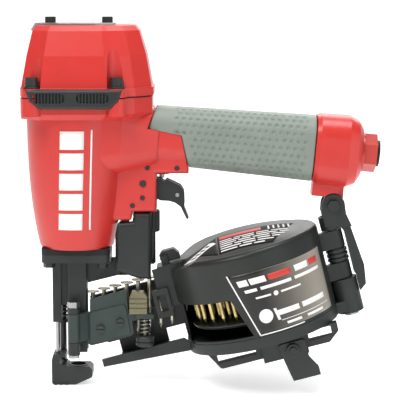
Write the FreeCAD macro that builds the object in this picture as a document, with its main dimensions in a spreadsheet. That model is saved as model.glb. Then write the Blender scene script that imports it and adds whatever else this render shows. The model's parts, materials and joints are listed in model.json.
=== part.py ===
import FreeCAD, Part
import math
import operator
import os

import Sketcher
from FreeCAD import Placement, Rotation, Vector

# Coil roofing nailer, millimetres.  +Z up, +X from the barrel towards the end of the
# handle, origin on the driver axis at the face of the work contact.

SIZES = [
    # nails
    ("nail_length", 41.0), ("nail_radius", 1.52), ("nail_head_radius", 4.7),
    ("nail_head_thick", 1.2), ("track_pitch", 8.3), ("coil_pitch", 10.2),
    # housing and cap
    ("housing_bottom", 102.6), ("barrel_height", 94.4), ("collar_height", 15.3),
    ("barrel_radius", 35.5), ("barrel_foot_radius", 27.0),
    ("collar_left", 36.9), ("collar_right", 55.5), ("collar_half_width", 40.5),
    ("gasket_thick", 0.9), ("cap_flange", 6.0), ("cap_height", 43.2), ("cap_inset", 10.0),
    ("cap_bolt_left", 27.9), ("cap_bolt_right", 31.5), ("cap_bolt_side", 37.5),
    ("cap_bolt_radius", 2.5), ("cap_head_radius", 4.5), ("cap_head_height", 6.4),
    ("cap_washer_thick", 1.3), ("guard_height", 13.7), ("guard_depth", 5.2),
    ("deflector_thick", 1.6), ("deflector_screw_gap", 40.8),
    # drive
    ("sleeve_bore", 19.5), ("sleeve_wall", 3.2), ("piston_height", 14.0),
    ("blade_radius", 2.9), ("bumper_height", 14.0), ("valve_height", 9.0),
    ("valve_radius", 26.4),
    # handle
    ("handle_height", 188.9), ("handle_slope", 5.05), ("grip_end", 172.2),
    ("grip_half_height", 20.5), ("grip_end_half_height", 23.5), ("grip_half_width", 18.5),
    ("grip_end_half_width", 20.0), ("grip_wall", 2.2), ("reservoir_wall", 3.6),
    ("end_cap_length", 34.0), ("end_cap_half_height", 25.2), ("end_cap_half_width", 21.5),
    ("hex_flats", 24.0), ("hex_length", 9.2), ("inlet_bore", 6.6), ("inlet_ring_length", 2.2),
    # trigger
    ("block_right", 58.3), ("block_floor", 129.0), ("block_ceiling", 156.6),
    ("block_half_width", 15.0), ("trigger_half_width", 6.0), ("trigger_pivot_x", 48.7),
    ("trigger_pivot_z", 149.4), ("pin_radius", 2.3), ("plunger_x", 62.0), ("housing_pin_radius", 1.7),
    ("plunger_radius", 1.9), ("valve_body_radius", 7.6), ("valve_body_length", 22.0),
    # nose and work contact
    ("nose_flange", 5.6), ("nose_gasket", 4.6), ("nose_half_length", 24.8),
    ("nose_half_width", 20.0), ("nose_post_half", 7.2), ("nose_post_foot", 24.0),
    ("channel_radius", 5.2), ("foot_height", 22.5),
    ("contact_travel", 9.0), ("rod_radius", 1.6), ("rod_x", 14.9), ("link_x", 54.8),
    ("link_radius", 2.4), ("wheel_radius", 5.6), ("wheel_height", 16.0),
    ("shroud_half_width", 13.0),
    # feed
    ("door_hinge_x", 1.8), ("door_hinge_y", 17.0), ("door_hinge_radius", 2.2),
    ("door_knuckle_radius", 4.4), ("door_thick", 3.0),
    ("feed_radius", 7.0), ("feed_side", 20.2),
    # magazine
    ("mag_x", 136.8), ("mag_z", 39.2), ("mag_tilt", 14.5), ("can_radius", 56.0),
    ("can_wall", 2.6), ("can_height", 66.0), ("can_floor", 4.0), ("head_line", 60.2),
    ("tray_gap", 4.4), ("tray_thick", 2.5), ("post_radius", 6.0),
    ("column_gap", 9.6), ("column_radius", 7.3), ("column_pin_radius", 3.0),
    ("arm_bolt_along", 18.15), ("arm_bolt_drop", 39.9), ("arm_eye_radius", 8.4),
    ("arm_half_width", 7.6), ("tongue_half_width", 3.8), ("rail_bar", 7.0),
    # clearances
    ("face_gap", 0.3), ("running_fit", 0.05), ("slide_gap", 0.5),
]

doc = FreeCAD.newDocument("coil_nailer")
sheet = doc.addObject("Spreadsheet::Sheet", "Sizes")
FORWARD = Vector(1, 0, 0)
SIDE = Vector(0, 1, 0)
UP = Vector(0, 0, 1)
NODES = []


class Dim:
    """A number together with the sheet expression that gives it."""

    def __init__(self, value, text):
        self.value = float(value)
        self.text = text

    def __add__(self, other):
        return combine(operator.add, "+", self, other)

    def __radd__(self, other):
        return combine(operator.add, "+", other, self)

    def __sub__(self, other):
        return combine(operator.sub, "-", self, other)

    def __rsub__(self, other):
        return combine(operator.sub, "-", other, self)

    def __mul__(self, other):
        return combine(operator.mul, "*", self, other)

    def __rmul__(self, other):
        return combine(operator.mul, "*", other, self)

    def __truediv__(self, other):
        return combine(operator.truediv, "/", self, other)

    def __neg__(self):
        return combine(operator.sub, "-", 0, self)

    def __float__(self):
        return self.value


def as_dim(number):
    return number if isinstance(number, Dim) else Dim(number, f"{float(number):.6f}")


def combine(action, sign, first, second):
    first = as_dim(first)
    second = as_dim(second)
    return Dim(action(first.value, second.value), f"({first.text} {sign} {second.text})")


def sine(angle):
    return Dim(math.sin(math.radians(float(angle))), f"sin({as_dim(angle).text} * 1 deg)")


def cosine(angle):
    return Dim(math.cos(math.radians(float(angle))), f"cos({as_dim(angle).text} * 1 deg)")


class Sizes:
    """The driving dimensions by name, each bound to its cell."""

    def __init__(self, table):
        for row, (alias, value) in enumerate(table, start=1):
            sheet.set(f"A{row}", alias)
            sheet.set(f"B{row}", str(value))
            sheet.setAlias(f"B{row}", alias)
            setattr(self, alias, Dim(value, f"Sizes.{alias}"))


D = Sizes(SIZES)
doc.recompute()


# ---------------------------------------------------------------- building blocks

def vec(x, y, z):
    return Vector(float(x), float(y), float(z))


def bind(obj, **properties):
    for name, number in properties.items():
        setattr(obj, name, float(number))
        if isinstance(number, Dim):
            obj.setExpression(name, number.text)
    return obj


def put(obj, x, y, z, rotation=None):
    """Places an object, with its base point bound to the sheet."""
    obj.Placement = Placement(vec(x, y, z), rotation or Rotation())
    for axis, number in zip("xyz", (x, y, z)):
        if isinstance(number, Dim):
            obj.setExpression(f"Placement.Base.{axis}", number.text)
    return obj


def box(low, high):
    obj = doc.addObject("Part::Box", "Block")
    bind(obj, Length=high[0] - low[0], Width=high[1] - low[1], Height=high[2] - low[2])
    return put(obj, *low)


def rod(radius, length, start, axis=UP):
    obj = doc.addObject("Part::Cylinder", "Rod")
    bind(obj, Radius=radius, Height=length)
    return put(obj, *start, Rotation(UP, axis))


def hexagon(flats, length, start, axis=UP):
    obj = doc.addObject("Part::Prism", "Hexagon")
    obj.Polygon = 6
    bind(obj, Circumradius=flats / math.sqrt(3), Height=length)
    return put(obj, *start, Rotation(UP, axis))


def ring(outer, inner, length, start, axis=UP):
    """A tube; the cutting rod runs past both faces."""
    over = 1.0
    back = [number - over * part for number, part in zip(start, axis)]
    return cut(rod(outer, length, start, axis), rod(inner, length + 2 * over, back, axis))


def cut(base, *tools):
    for tool in tools:
        result = doc.addObject("Part::Cut", "Cut")
        result.Base = base
        result.Tool = tool
        base = result
    return base


def fuse(*parts):
    obj = doc.addObject("Part::MultiFuse", "Fuse")
    obj.Shapes = list(parts)
    return obj


def outline(body, plane, points):
    """A closed polygon whose corners are bound to the sheet."""
    sketch = body.newObject("Sketcher::SketchObject", "Outline")
    base = next(item for item in body.Origin.OriginFeatures if item.Role == plane)
    sketch.AttachmentSupport = [(base, "")]
    sketch.MapMode = "FlatFace"
    corners = [vec(a, b, 0) for a, b in points]
    closing = corners[1:] + corners[:1]
    sketch.addGeometry([Part.LineSegment(a, b) for a, b in zip(corners, closing)], False)
    count = len(corners)
    rules = [Sketcher.Constraint("Coincident", i, 2, (i + 1) % count, 1) for i in range(count)]
    bound = {}
    for index, point in enumerate(points):
        for kind, line, number in (("DistanceX", -2, point[0]), ("DistanceY", -1, point[1])):
            if abs(float(number)) < 1e-9:
                rules.append(Sketcher.Constraint("PointOnObject", index, 1, line))
                continue
            if isinstance(number, Dim):
                bound[len(rules)] = number.text
            rules.append(Sketcher.Constraint(kind, -1, 1, index, 1, float(number)))
    sketch.addConstraint(rules)
    for index, text in bound.items():
        sketch.setExpression(f"Constraints[{index}]", text)
    return sketch


def corner_edges(shape, direction, corner):
    """Names of the edges along a direction that stand over one corner point."""
    found = []
    for index, edge in enumerate(shape.Edges, start=1):
        if edge.Curve.TypeId != "Part::GeomLine":
            continue
        along = edge.tangentAt(edge.FirstParameter)
        offset = edge.CenterOfMass - corner
        across = offset - direction * offset.dot(direction)
        if abs(abs(along.dot(direction)) - 1) < 1e-6 and across.Length < 1e-3:
            found.append(f"Edge{index}")
    return found


def padded(plane, points, thick, rounds, centred):
    """A pad of an outline, with some of its corners rounded: {corner: radius}."""
    body = doc.addObject("PartDesign::Body", "Plate")
    sketch = outline(body, plane, points)
    pad = body.newObject("PartDesign::Pad", "Pad")
    pad.Profile = sketch
    if centred:
        pad.Midplane = True
    bind(pad, Length=thick)
    doc.recompute()
    direction = UP if plane == "XY_Plane" else SIDE
    last = pad
    for index, radius in (rounds or {}).items():
        a, b = points[index]
        corner = vec(a, b, 0) if plane == "XY_Plane" else vec(a, 0, b)
        fillet = body.newObject("PartDesign::Fillet", "Round")
        fillet.Base = (last, corner_edges(last.Shape, direction, corner))
        bind(fillet, Radius=radius)
        doc.recompute()
        last = fillet
    return body


def plate(points, thick, y=0.0, rounds=None):
    """An upright plate: outline in X and Z, thickness centred on Y."""
    return put(padded("XZ_Plane", points, thick, rounds, True), 0, y, 0)


def slab(points, thick, z=0.0, rounds=None):
    """A lying plate: outline in X and Y, thickness upwards from Z."""
    return put(padded("XY_Plane", points, thick, rounds, False), 0, 0, z)


def turned(points, start, axis=UP):
    """A turned piece: outline of radius and height, turned about its own axis."""
    body = doc.addObject("PartDesign::Body", "Turned")
    sketch = outline(body, "XZ_Plane", points)
    turn = body.newObject("PartDesign::Revolution", "Turn")
    turn.Profile = sketch
    turn.ReferenceAxis = (sketch, ["V_Axis"])
    turn.Angle = 360
    return put(body, *start, Rotation(UP, axis))


def grid(xs, ys):
    return [(x, y) for x in xs for y in ys]


def rectangle(low, high):
    return [(low[0], low[1]), (high[0], low[1]), (high[0], high[1]), (low[0], high[1])]


class Frame:
    """A tilted frame: an origin and a turn about the Y axis."""

    def __init__(self, x, z, angle):
        self.x = x
        self.z = z
        self.angle = angle

    def apply(self, obj):
        turn = SIDE if float(self.angle) > 0 else -SIDE
        put(obj, self.x, 0, self.z, Rotation(turn, abs(float(self.angle))))
        obj.setExpression("Placement.Rotation.Angle", f"abs({as_dim(self.angle).text}) * 1 deg")

    def main(self, x, z):
        """Main coordinates of a point given in this frame."""
        return (self.x + x * cosine(self.angle) + z * sine(self.angle),
                self.z - x * sine(self.angle) + z * cosine(self.angle))


def node(label, parts, frame=None):
    """Registers a sub-part; in a tilted frame, or as a group, it is one compound."""
    parts = parts if isinstance(parts, list) else [parts]
    obj = parts[0]
    if frame or len(parts) > 1:
        obj = doc.addObject("Part::Compound", label)
        obj.Links = parts
    if frame:
        frame.apply(obj)
    obj.Label = label
    NODES.append(obj)
    return obj


def cast(label, shape, frame=None):
    """Registers a freeform casting, whose shape is made by functions."""
    obj = doc.addObject("Part::Feature", label)
    obj.Shape = shape
    if frame:
        frame.apply(obj)
    obj.Label = label
    NODES.append(obj)
    return obj


def spring(coil_radius, wire_radius, length, turns, start, axis=UP):
    """A round-wire compression spring with its wire centre on the coil radius."""
    obj = doc.addObject("Part::Helix", "Coil")
    obj.SegmentLength = 1
    bind(obj, Pitch=(length - 2 * wire_radius) / turns, Height=length - 2 * wire_radius,
         Radius=coil_radius)
    wire = doc.addObject("Part::Circle", "Wire")
    bind(wire, Radius=wire_radius)
    put(wire, coil_radius, 0, 0, Rotation(FORWARD, 90))
    sweep = doc.addObject("Part::Sweep", "Sweep")
    sweep.Sections = [wire]
    sweep.Spine = (obj, [])
    sweep.Solid = True
    sweep.Frenet = True
    group = doc.addObject("Part::Compound", "Spring")
    group.Links = [sweep]
    lifted = [number + float(wire_radius) * part for number, part in zip(start, axis)]
    return put(group, *lifted, Rotation(UP, axis))


# ---------------------------------------------------------------- casting sections

def section_points(left, right, half_width):
    """Corner points of the faceted cap section: a flat side panel, then facets."""
    long = right - left
    near = [(left, -0.65 * half_width), (left + 0.16 * long, -half_width),
            (left + 0.66 * long, -half_width), (left + 0.71 * long, -0.93 * half_width),
            (left + 0.87 * long, -0.75 * half_width), (right, -0.42 * half_width)]
    return near + [(x, -y) for x, y in reversed(near)]


def section_wire(left, right, half_width, z):
    points = [Vector(x, y, z) for x, y in section_points(left, right, half_width)]
    return Part.makePolygon(points + points[:1])


def faceted(levels):
    """A ruled solid through faceted sections (left, right, half width, height)."""
    return Part.makeLoft([section_wire(*map(float, level)) for level in levels], True, True)


def oval_wire(x, half_height, half_width, share=0.72):
    """A rounded rectangle across the handle: its corners are arcs."""
    radius = share * half_width
    flat_y = half_width - radius
    flat_z = half_height - radius
    diagonal = radius * math.sqrt(0.5)
    edges = []
    for turn in range(4):
        sign_y, sign_z = ((1, 1), (-1, 1), (-1, -1), (1, -1))[turn]
        centre = Vector(x, sign_y * flat_y, sign_z * flat_z)
        side = centre + Vector(0, sign_y * radius, 0)
        top = centre + Vector(0, 0, sign_z * radius)
        middle = centre + Vector(0, sign_y * diagonal, sign_z * diagonal)
        ends = (side, top) if turn % 2 == 0 else (top, side)
        edges.append((ends[0], middle, ends[1]))
    wire = []
    for index, (start, middle, end) in enumerate(edges):
        wire.append(Part.Arc(start, middle, end).toShape())
        wire.append(Part.makeLine(end, edges[(index + 1) % 4][0]))
    return Part.Wire(wire)


def oval_bar(sections):
    return Part.makeLoft([oval_wire(*map(float, item)) for item in sections], True, True)


def prism_xz(points, half_width):
    """An upright prism through the whole width, from X and Z points."""
    low = [Vector(float(x), -float(half_width), float(z)) for x, z in points]
    face = Part.Face(Part.makePolygon(low + low[:1]))
    return face.extrude(Vector(0, 2 * float(half_width), 0))


def pin_solid(radius, length, start, axis=UP):
    return Part.makeCylinder(float(radius), float(length), vec(*start), axis)


def rounded_edges(shape, radius, choose):
    edges = [edge for edge in shape.Edges if choose(edge)]
    return shape.makeFillet(float(radius), edges) if edges else shape


# ---------------------------------------------------------------- levels and axes

barrel_top = D.housing_bottom + D.barrel_height
collar_top = barrel_top + D.collar_height
cap_bottom = collar_top + D.gasket_thick
cap_step = cap_bottom + D.cap_flange
cap_top = cap_step + D.cap_height
sleeve_radius = D.sleeve_bore + D.sleeve_wall
sleeve_foot = D.housing_bottom + 1.4
sleeve_top = collar_top - 6.3
piston_top = sleeve_top - 2.0
piston_foot = piston_top - D.piston_height
nose_flange_top = D.housing_bottom - D.nose_gasket
nose_flange_foot = nose_flange_top - D.nose_flange
bolt_spots = [(x, y) for x in (-D.cap_bolt_left, D.cap_bolt_right)
              for y in (-D.cap_bolt_side, D.cap_bolt_side)]
pin_spots = [(D.trigger_pivot_x + x, D.trigger_pivot_z + z)
             for x, z in ((3.2, 11.6), (24.4, 11.2), (-0.4, -10.2), (-7.7, -15.8))]
handle = Frame(Dim(0, "0"), D.handle_height, D.handle_slope)


def handle_size(x, inset=0.0):
    """Half height and half width of the handle at a distance along its axis."""
    share = (x - 52.0) / (float(D.grip_end) - 52.0)
    height = float(D.grip_half_height) + share * float(D.grip_end_half_height - D.grip_half_height)
    width = float(D.grip_half_width) + share * float(D.grip_end_half_width - D.grip_half_width)
    return x, height - inset, width - inset


def handle_bar(start, end, inset):
    inset = float(inset)
    return oval_bar([handle_size(float(start), inset), handle_size(float(end), inset)])


def grip_region():
    """Side outline of the moulded grip, in the handle's frame."""
    end = float(D.grip_end)
    return [(61.3, 40.0), (52.1, 5.2), (76.4, 2.5), (83.6, -21.7), (86.5, -40.0),
            (end, -40.0), (end, 40.0)]


def to_main(shape):
    """Moves a shape from the handle's frame to the main frame."""
    moved = shape.copy()
    moved.Placement = Placement(vec(0, 0, D.handle_height),
                                Rotation(SIDE, float(D.handle_slope)))
    return moved


# ---------------------------------------------------------------- housing and cap

def body_housing():
    left = float(D.collar_left)
    right = float(D.collar_right)
    side = float(D.collar_half_width)
    foot = float(D.housing_bottom)
    shoulder = float(barrel_top)
    radius = float(D.barrel_radius)
    foot_radius = float(D.barrel_foot_radius)
    tall = float(D.barrel_height)
    wall = [Vector(0, 0, foot), Vector(foot_radius - 1, 0, foot),
            Vector(foot_radius, 0, foot + 1.5), Vector(foot_radius + 3.6, 0, foot + 0.21 * tall),
            Vector(radius - 1.8, 0, foot + 0.5 * tall), Vector(radius, 0, shoulder + 1),
            Vector(0, 0, shoulder + 1)]
    rim = Part.BSplineCurve()
    rim.interpolate(wall[2:6])
    sides = [Part.makeLine(wall[0], wall[1]), Part.makeLine(wall[1], wall[2]), rim.toShape(),
             Part.makeLine(wall[5], wall[6]), Part.makeLine(wall[6], wall[0])]
    barrel = Part.Face(Part.Wire(sides)).revolve(Vector(), UP, 360)
    collar = faceted([(-left, right - 5, side - 3.5, shoulder), (-left, right, side, shoulder + 4),
                      (-left, right, side, collar_top)])
    flare = oval_bar([(8, 30, 31, 0.5), (34, 27, 27, 0.6), (60, 21, 19, 0.72)])
    flare.Placement = Placement(vec(0, 0, D.handle_height - 2.5),
                                Rotation(SIDE, float(D.handle_slope)))
    low = float(D.block_floor)
    ceiling = float(D.block_ceiling)
    face = float(D.block_right)
    block = prism_xz([(5, low - 6.2), (40, low - 6.2), (41.5, low), (face, low), (face, ceiling),
                      (82, ceiling), (80, ceiling + 14), (60, ceiling + 30), (5, ceiling + 40)],
                     D.block_half_width)
    block = rounded_edges(block, 3.0, lambda edge: abs(edge.tangentAt(0).y) < 0.1
                          and edge.CenterOfMass.x > 20)
    grip = to_main(prism_xz([(x - 0.1, z) for x, z in grip_region()], 60))
    core = to_main(handle_bar(20, D.grip_end, D.grip_wall))
    skin = to_main(handle_bar(45, 92, 0.5)
                   .cut(prism_xz([(x - 0.3, z) for x, z in grip_region()], 60)))
    ears = [pin_solid(7.2, D.collar_height - 3, (x, y, barrel_top + 3)) for x, y in bolt_spots]
    solid = barrel.fuse([collar, flare.cut(grip), block.cut(grip), core, skin] + ears)
    bore = pin_solid(sleeve_radius + 2.6, D.barrel_height + 20, (0, 0, foot + 9))
    seat = pin_solid(sleeve_radius + D.running_fit, 20, (0, 0, foot - 1))
    chamber = pin_solid(D.valve_radius + 0.3, 40, (0, 0, sleeve_top - 6))
    reservoir = to_main(handle_bar(36, D.grip_end + 2, D.grip_wall + D.reservoir_wall))
    slot = prism_xz([(42.5, low - 12), (95, low - 12), (95, ceiling), (42.5, ceiling)],
                    D.trigger_half_width + D.slide_gap)
    valve = pin_solid(D.valve_body_radius + D.running_fit, 40, (D.plunger_x, 0, ceiling - 2))
    hole = pin_solid(D.pin_radius + D.running_fit, 60,
                     (D.trigger_pivot_x, -30, D.trigger_pivot_z), SIDE)
    threads = [pin_solid(D.cap_bolt_radius, 14, (x, y, collar_top - 11)) for x, y in bolt_spots]
    above = Part.makeBox(200, 200, 60, vec(-100, -100, collar_top))
    pin_holes = [pin_solid(D.housing_pin_radius, 60, (x, -30, z), SIDE) for x, z in pin_spots]
    return solid.cut([bore, seat, chamber, reservoir, slot, valve, hole, above]
                     + threads + pin_holes)


def top_cap():
    left = float(D.collar_left)
    right = float(D.collar_right)
    side = float(D.collar_half_width)
    step = float(cap_step)
    top = float(cap_top)
    inset = float(D.cap_inset)
    crown = faceted([(-left + 0.3, right, side - 0.6, step - 1),
                     (-left + 0.45 * inset, right - 0.4 * inset, side - 4, step + 0.52 * (top - step)),
                     (-left + 0.85 * inset, right - 0.9 * inset, side - 9, top - 3.5),
                     (-left + 1.1 * inset, right - 1.2 * inset, side - 12.5, top)])
    flange = faceted([(-left, right + 1, side + 0.3, cap_bottom),
                      (-left, right + 1, side + 0.3, step)])
    ears = [pin_solid(7.2, D.cap_flange, (x, y, cap_bottom)) for x, y in bolt_spots]
    solid = crown.fuse([flange] + ears)
    pockets = [pin_solid(6.6, 40, (x, y, step)) for x, y in bolt_spots]
    chamber = pin_solid(D.valve_radius + 0.3, 30, (0, 0, cap_bottom - 1))
    holes = [pin_solid(D.cap_bolt_radius + 0.3, 40, (x, y, cap_bottom - 1)) for x, y in bolt_spots]
    screws = [pin_solid(2.0, 9, (x, 0, cap_top - 8)) for x in deflector_screw_spots()]
    return solid.cut(pockets + [chamber] + holes + screws)


def deflector_screw_spots():
    centre = 2.9
    half = float(D.deflector_screw_gap) / 2
    return (centre - half, centre + half)


def cap_gasket():
    left = float(D.collar_left) - 0.4
    sheet_solid = faceted([(-left, float(D.collar_right) - 0.4, float(D.collar_half_width) - 0.4, z)
                           for z in (float(collar_top), float(cap_bottom))])
    ears = [pin_solid(6.8, D.gasket_thick, (x, y, collar_top)) for x, y in bolt_spots]
    holes = [pin_solid(D.cap_bolt_radius + 0.3, 4, (x, y, collar_top - 1)) for x, y in bolt_spots]
    chamber = pin_solid(D.valve_radius + 0.3, 4, (0, 0, collar_top - 1))
    return sheet_solid.fuse(ears).cut(holes + [chamber])


def exhaust_guard(side):
    """A ribbed cover over the joint of cap and housing; side is -1 or 1."""
    top = float(cap_step) - 0.4
    foot = top - float(D.guard_height)
    left = -float(D.cap_bolt_left) - 4.2
    right = float(D.cap_bolt_right) + 4.2
    outer = float(D.collar_half_width) + float(D.guard_depth)
    points = [(left + 11, foot), (right - 9, foot), (right - 2.5, foot + 5), (right, top),
              (left, top), (left + 3, foot + 5)]
    face = Part.Face(Part.makePolygon([Vector(x, 0, z) for x, z in points + points[:1]]))
    shell = face.extrude(Vector(0, side * outer, 0))
    shell = rounded_edges(shell, 2.2, lambda edge: abs(abs(edge.CenterOfMass.y) - outer) < 0.01)
    low = shell.BoundBox.ZMin - 1
    gap = 0.25
    hollow = faceted([(-float(D.collar_left) - gap, float(D.collar_right) + 1 + gap,
                       float(D.collar_half_width) + 0.3 + gap, z) for z in (low, top + 1)])
    ears = [pin_solid(7.2 + gap, top - low + 2, (x, y, low)) for x, y in bolt_spots]
    for centre in (-16.6 + 1, 14.6 + 0.4):
        vent = vent_opening(centre, (top + foot) / 2 + 0.9, side, outer)
        shell = shell.cut(vent)
    return shell.cut([hollow] + ears)


def vent_opening(centre, level, side, outer):
    """An oval pocket 2 mm deep, crossed by upright ribs."""
    half_long = 11.4
    half_tall = 3.5
    depth = 2.0
    start = Vector(0, side * (outer - depth), 0)
    edges = []
    for sign in (-1, 1):
        middle = Vector(centre + sign * half_long, 0, level)
        bottom = Vector(centre + sign * (half_long - half_tall), 0, level - sign * half_tall)
        top = Vector(centre + sign * (half_long - half_tall), 0, level + sign * half_tall)
        edges.append((bottom, middle, top))
    wire = [Part.Arc(*edges[1]).toShape(), Part.makeLine(edges[1][2], edges[0][0]),
            Part.Arc(*edges[0]).toShape(), Part.makeLine(edges[0][2], edges[1][0])]
    pocket = Part.Face(Part.Wire(wire)).extrude(Vector(0, side * (depth + 1), 0))
    pocket.translate(start)
    ribs = []
    for step in range(-4, 5):
        low = Vector(centre + step * 2.3 - 0.55, min(start.y, start.y + side * (depth - 0.3)),
                     level - half_tall - 1)
        ribs.append(Part.makeBox(1.1, depth - 0.3, 2 * half_tall + 2, low))
    return pocket.cut(ribs)


def housing_group():
    cast("body_housing", body_housing())
    cast("top_cap", top_cap())
    cast("cap_gasket", cap_gasket())
    cast("exhaust_guards", Part.makeCompound([exhaust_guard(-1), exhaust_guard(1)]))
    bolts = exhaust_deflector_parts()
    head_foot = cap_step + D.cap_washer_thick
    for x, y in bolt_spots:
        head = rod(D.cap_head_radius, D.cap_head_height, (x, y, head_foot))
        shank = rod(D.cap_bolt_radius - 0.03, D.cap_flange + D.cap_washer_thick + 9.5,
                    (x, y, cap_bottom - 9.5))
        socket = hexagon(4.2, 4.0, (x, y, head_foot + D.cap_head_height - 3.0))
        bolts.append(cut(fuse(head, shank), socket))
        bolts.append(ring(D.cap_head_radius + 1.3, D.cap_bolt_radius + 0.1,
                          D.cap_washer_thick, (x, y, cap_step)))
    node("cap_bolts", bolts)


def exhaust_deflector_parts():
    """Makes the deflector plate and returns its two screws."""
    left, right = deflector_screw_spots()
    points = [(left - 7, -9), (left + 8, -16), (right - 8, -16), (right + 6, -9),
              (right + 6, 9), (right - 8, 16), (left + 8, 16), (left - 7, 9)]
    base = slab(points, D.deflector_thick, cap_top, {1: 4, 2: 4, 5: 4, 6: 4})
    holes = [rod(2.3, 6, (x, 0, cap_top - 1)) for x in (left, right)]
    lip = plate([(left - 6, cap_top), (left - 9.4, cap_top), (left - 12.3, cap_top - 4.2),
                 (left - 13.5, cap_top - 3.4), (left - 10.4, cap_top + D.deflector_thick),
                 (left - 6, cap_top + D.deflector_thick)], 15)
    node("exhaust_deflector", cut(fuse(base, lip), *holes))
    screws = []
    for x in (left, right):
        level = cap_top + D.deflector_thick
        head = rod(3.9, 4.2, (x, 0, level))
        shank = rod(1.97, D.deflector_thick + 7, (x, 0, cap_top - 7))
        screws.append(cut(fuse(head, shank), hexagon(3.4, 3, (x, 0, level + 2))))
    return screws


# ---------------------------------------------------------------- drive

def drive_group():
    bore = D.sleeve_bore
    flange = sleeve_radius + 2.4
    node("cylinder_sleeve", turned(
        [(bore, 0), (sleeve_radius, 0), (sleeve_radius, sleeve_top - sleeve_foot - 5),
         (flange, sleeve_top - sleeve_foot - 5), (flange, sleeve_top - sleeve_foot),
         (bore, sleeve_top - sleeve_foot)], (0, 0, sleeve_foot)))
    node("sleeve_ring", ring(D.valve_radius + 0.2, flange + 0.05, 3.0, (0, 0, sleeve_top - 4)))
    node("bumper", turned(
        [(D.blade_radius + 1.5, 0), (bore - 0.4, 0), (bore - 0.4, 4), (bore - 4, D.bumper_height),
         (D.blade_radius + 3, D.bumper_height), (D.blade_radius + 1.5, 5)], (0, 0, sleeve_foot)))
    tall = D.piston_height
    outer = bore - D.running_fit
    node("piston", turned(
        [(0, 0), (outer - 5, 0), (outer, 3), (outer, 5), (outer - 2.4, 5), (outer - 2.4, 8),
         (outer, 8), (outer, tall), (outer - 6, tall), (outer - 8, tall - 5), (0, tall - 5)],
        (0, 0, piston_foot)))
    node("piston_ring", ring(outer, outer - 2.35, 2.8, (0, 0, piston_foot + 5.1)))
    blade_tip = D.head_line * cosine(D.mag_tilt) + 12.5
    node("driver_blade", cut(rod(D.blade_radius, piston_foot - blade_tip, (0, 0, blade_tip)),
                             box((1.9, -6, blade_tip - 1), (8, 6, piston_foot - 8))))
    low = sleeve_top + D.face_gap
    radius = D.valve_radius
    node("head_valve", turned(
        [(0, 2.5), (bore - 3, 2.5), (bore - 1, 0), (flange - 0.5, 0), (flange - 0.5, 3),
         (radius, 3), (radius, D.valve_height), (radius - 4, D.valve_height), (radius - 4, 6),
         (0, 6)], (0, 0, low)))
    spring_foot = low + D.valve_height
    ceiling = cap_bottom + 29
    node("head_valve_spring", spring(radius - 2.4, 1.2, ceiling - spring_foot, 4, (0, 0, spring_foot)))


# ---------------------------------------------------------------- trigger group

def trigger_group():
    px = D.trigger_pivot_x
    pz = D.trigger_pivot_z
    points = [(px - 4, pz + 2), (px + 4, pz + 4.2), (px + 12, pz + 2.6), (px + 15.4, pz + 0.4),
              (px + 16.7, pz + 2.2), (px + 26.9, pz - 2.6), (px + 29.5, pz - 6.5),
              (px + 29.8, pz - 15.1), (px + 29.5, pz - 18.3), (px + 32.7, pz - 26.6),
              (px + 31.2, pz - 26.9), (px + 26.9, pz - 17.9), (px + 22.9, pz - 15),
              (px + 18.8, pz - 13.7), (px + 12.1, pz - 13.3), (px + 2.4, pz - 7.8), (px - 4, pz - 4)]
    rounds = {0: 2, 5: 3, 6: 3, 11: 3, 12: 3, 16: 2}
    shell = plate(points, D.trigger_half_width * 2, 0, rounds)
    lever_slot = box((px - 10, -2.6, pz - 12), (px + 18, 2.6, pz + 12))
    side = D.trigger_half_width + 1
    holes = [rod(D.pin_radius + D.running_fit, 2 * side, (px, -side, pz), SIDE),
             rod(1.45, 2 * side, (px + 24.5, -side, pz - 9.3), SIDE)]
    back_slot = box((px + 17.9, -2.6, pz - 12), (px + 28, 2.6, pz + 12))
    node("trigger", cut(shell, lever_slot, back_slot, *holes))
    half = D.block_half_width
    node("trigger_pin", rod(D.pin_radius, 2 * half + 1.6, (px, -half - 0.8, pz), SIDE))
    lever_x = px + 24.5
    lever_z = pz - 9.3
    lever = plate([(lever_x - 2.4, lever_z - 2.4), (lever_x + 2.4, lever_z - 2.4),
                   (lever_x + 2.4, lever_z + 2.4), (px + 14.4, pz - 0.9), (px + 3.2, pz - 3.6),
                   (px + 3.2, pz - 5.6), (px + 15, pz - 4.2)], 4.2, 0, {0: 1.5, 1: 1.5, 2: 1.5})
    node("trigger_lever", cut(lever, rod(1.45, 10, (lever_x, -5, lever_z), SIDE)))
    node("lever_pin", rod(1.4, 2 * D.trigger_half_width, (lever_x, -D.trigger_half_width, lever_z),
                          SIDE))
    vx = D.plunger_x
    vz = D.block_ceiling
    body = turned([(D.plunger_radius + D.running_fit, -1.5), (D.valve_body_radius - 2, -1.5),
                   (D.valve_body_radius, 0), (D.valve_body_radius, D.valve_body_length),
                   (3.2, D.valve_body_length), (3.2, 6), (D.plunger_radius + D.running_fit, 6)],
                  (vx, 0, vz))
    node("trigger_valve", body)
    node("trigger_plunger", turned([(0, 0), (1.2, 0), (D.plunger_radius, 0.8),
                                    (D.plunger_radius, 13), (0, 13)], (vx, 0, vz - 4.6)))
    node("plunger_spring", spring(2.35, 0.4, D.valve_body_length - 8.6, 6, (vx, 0, vz + 8.6)))
    node("housing_pins", [rod(D.housing_pin_radius, 2 * half + 1.2, (x, -half - 0.6, z), SIDE)
                          for x, z in pin_spots])


# ---------------------------------------------------------------- handle and inlet

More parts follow.
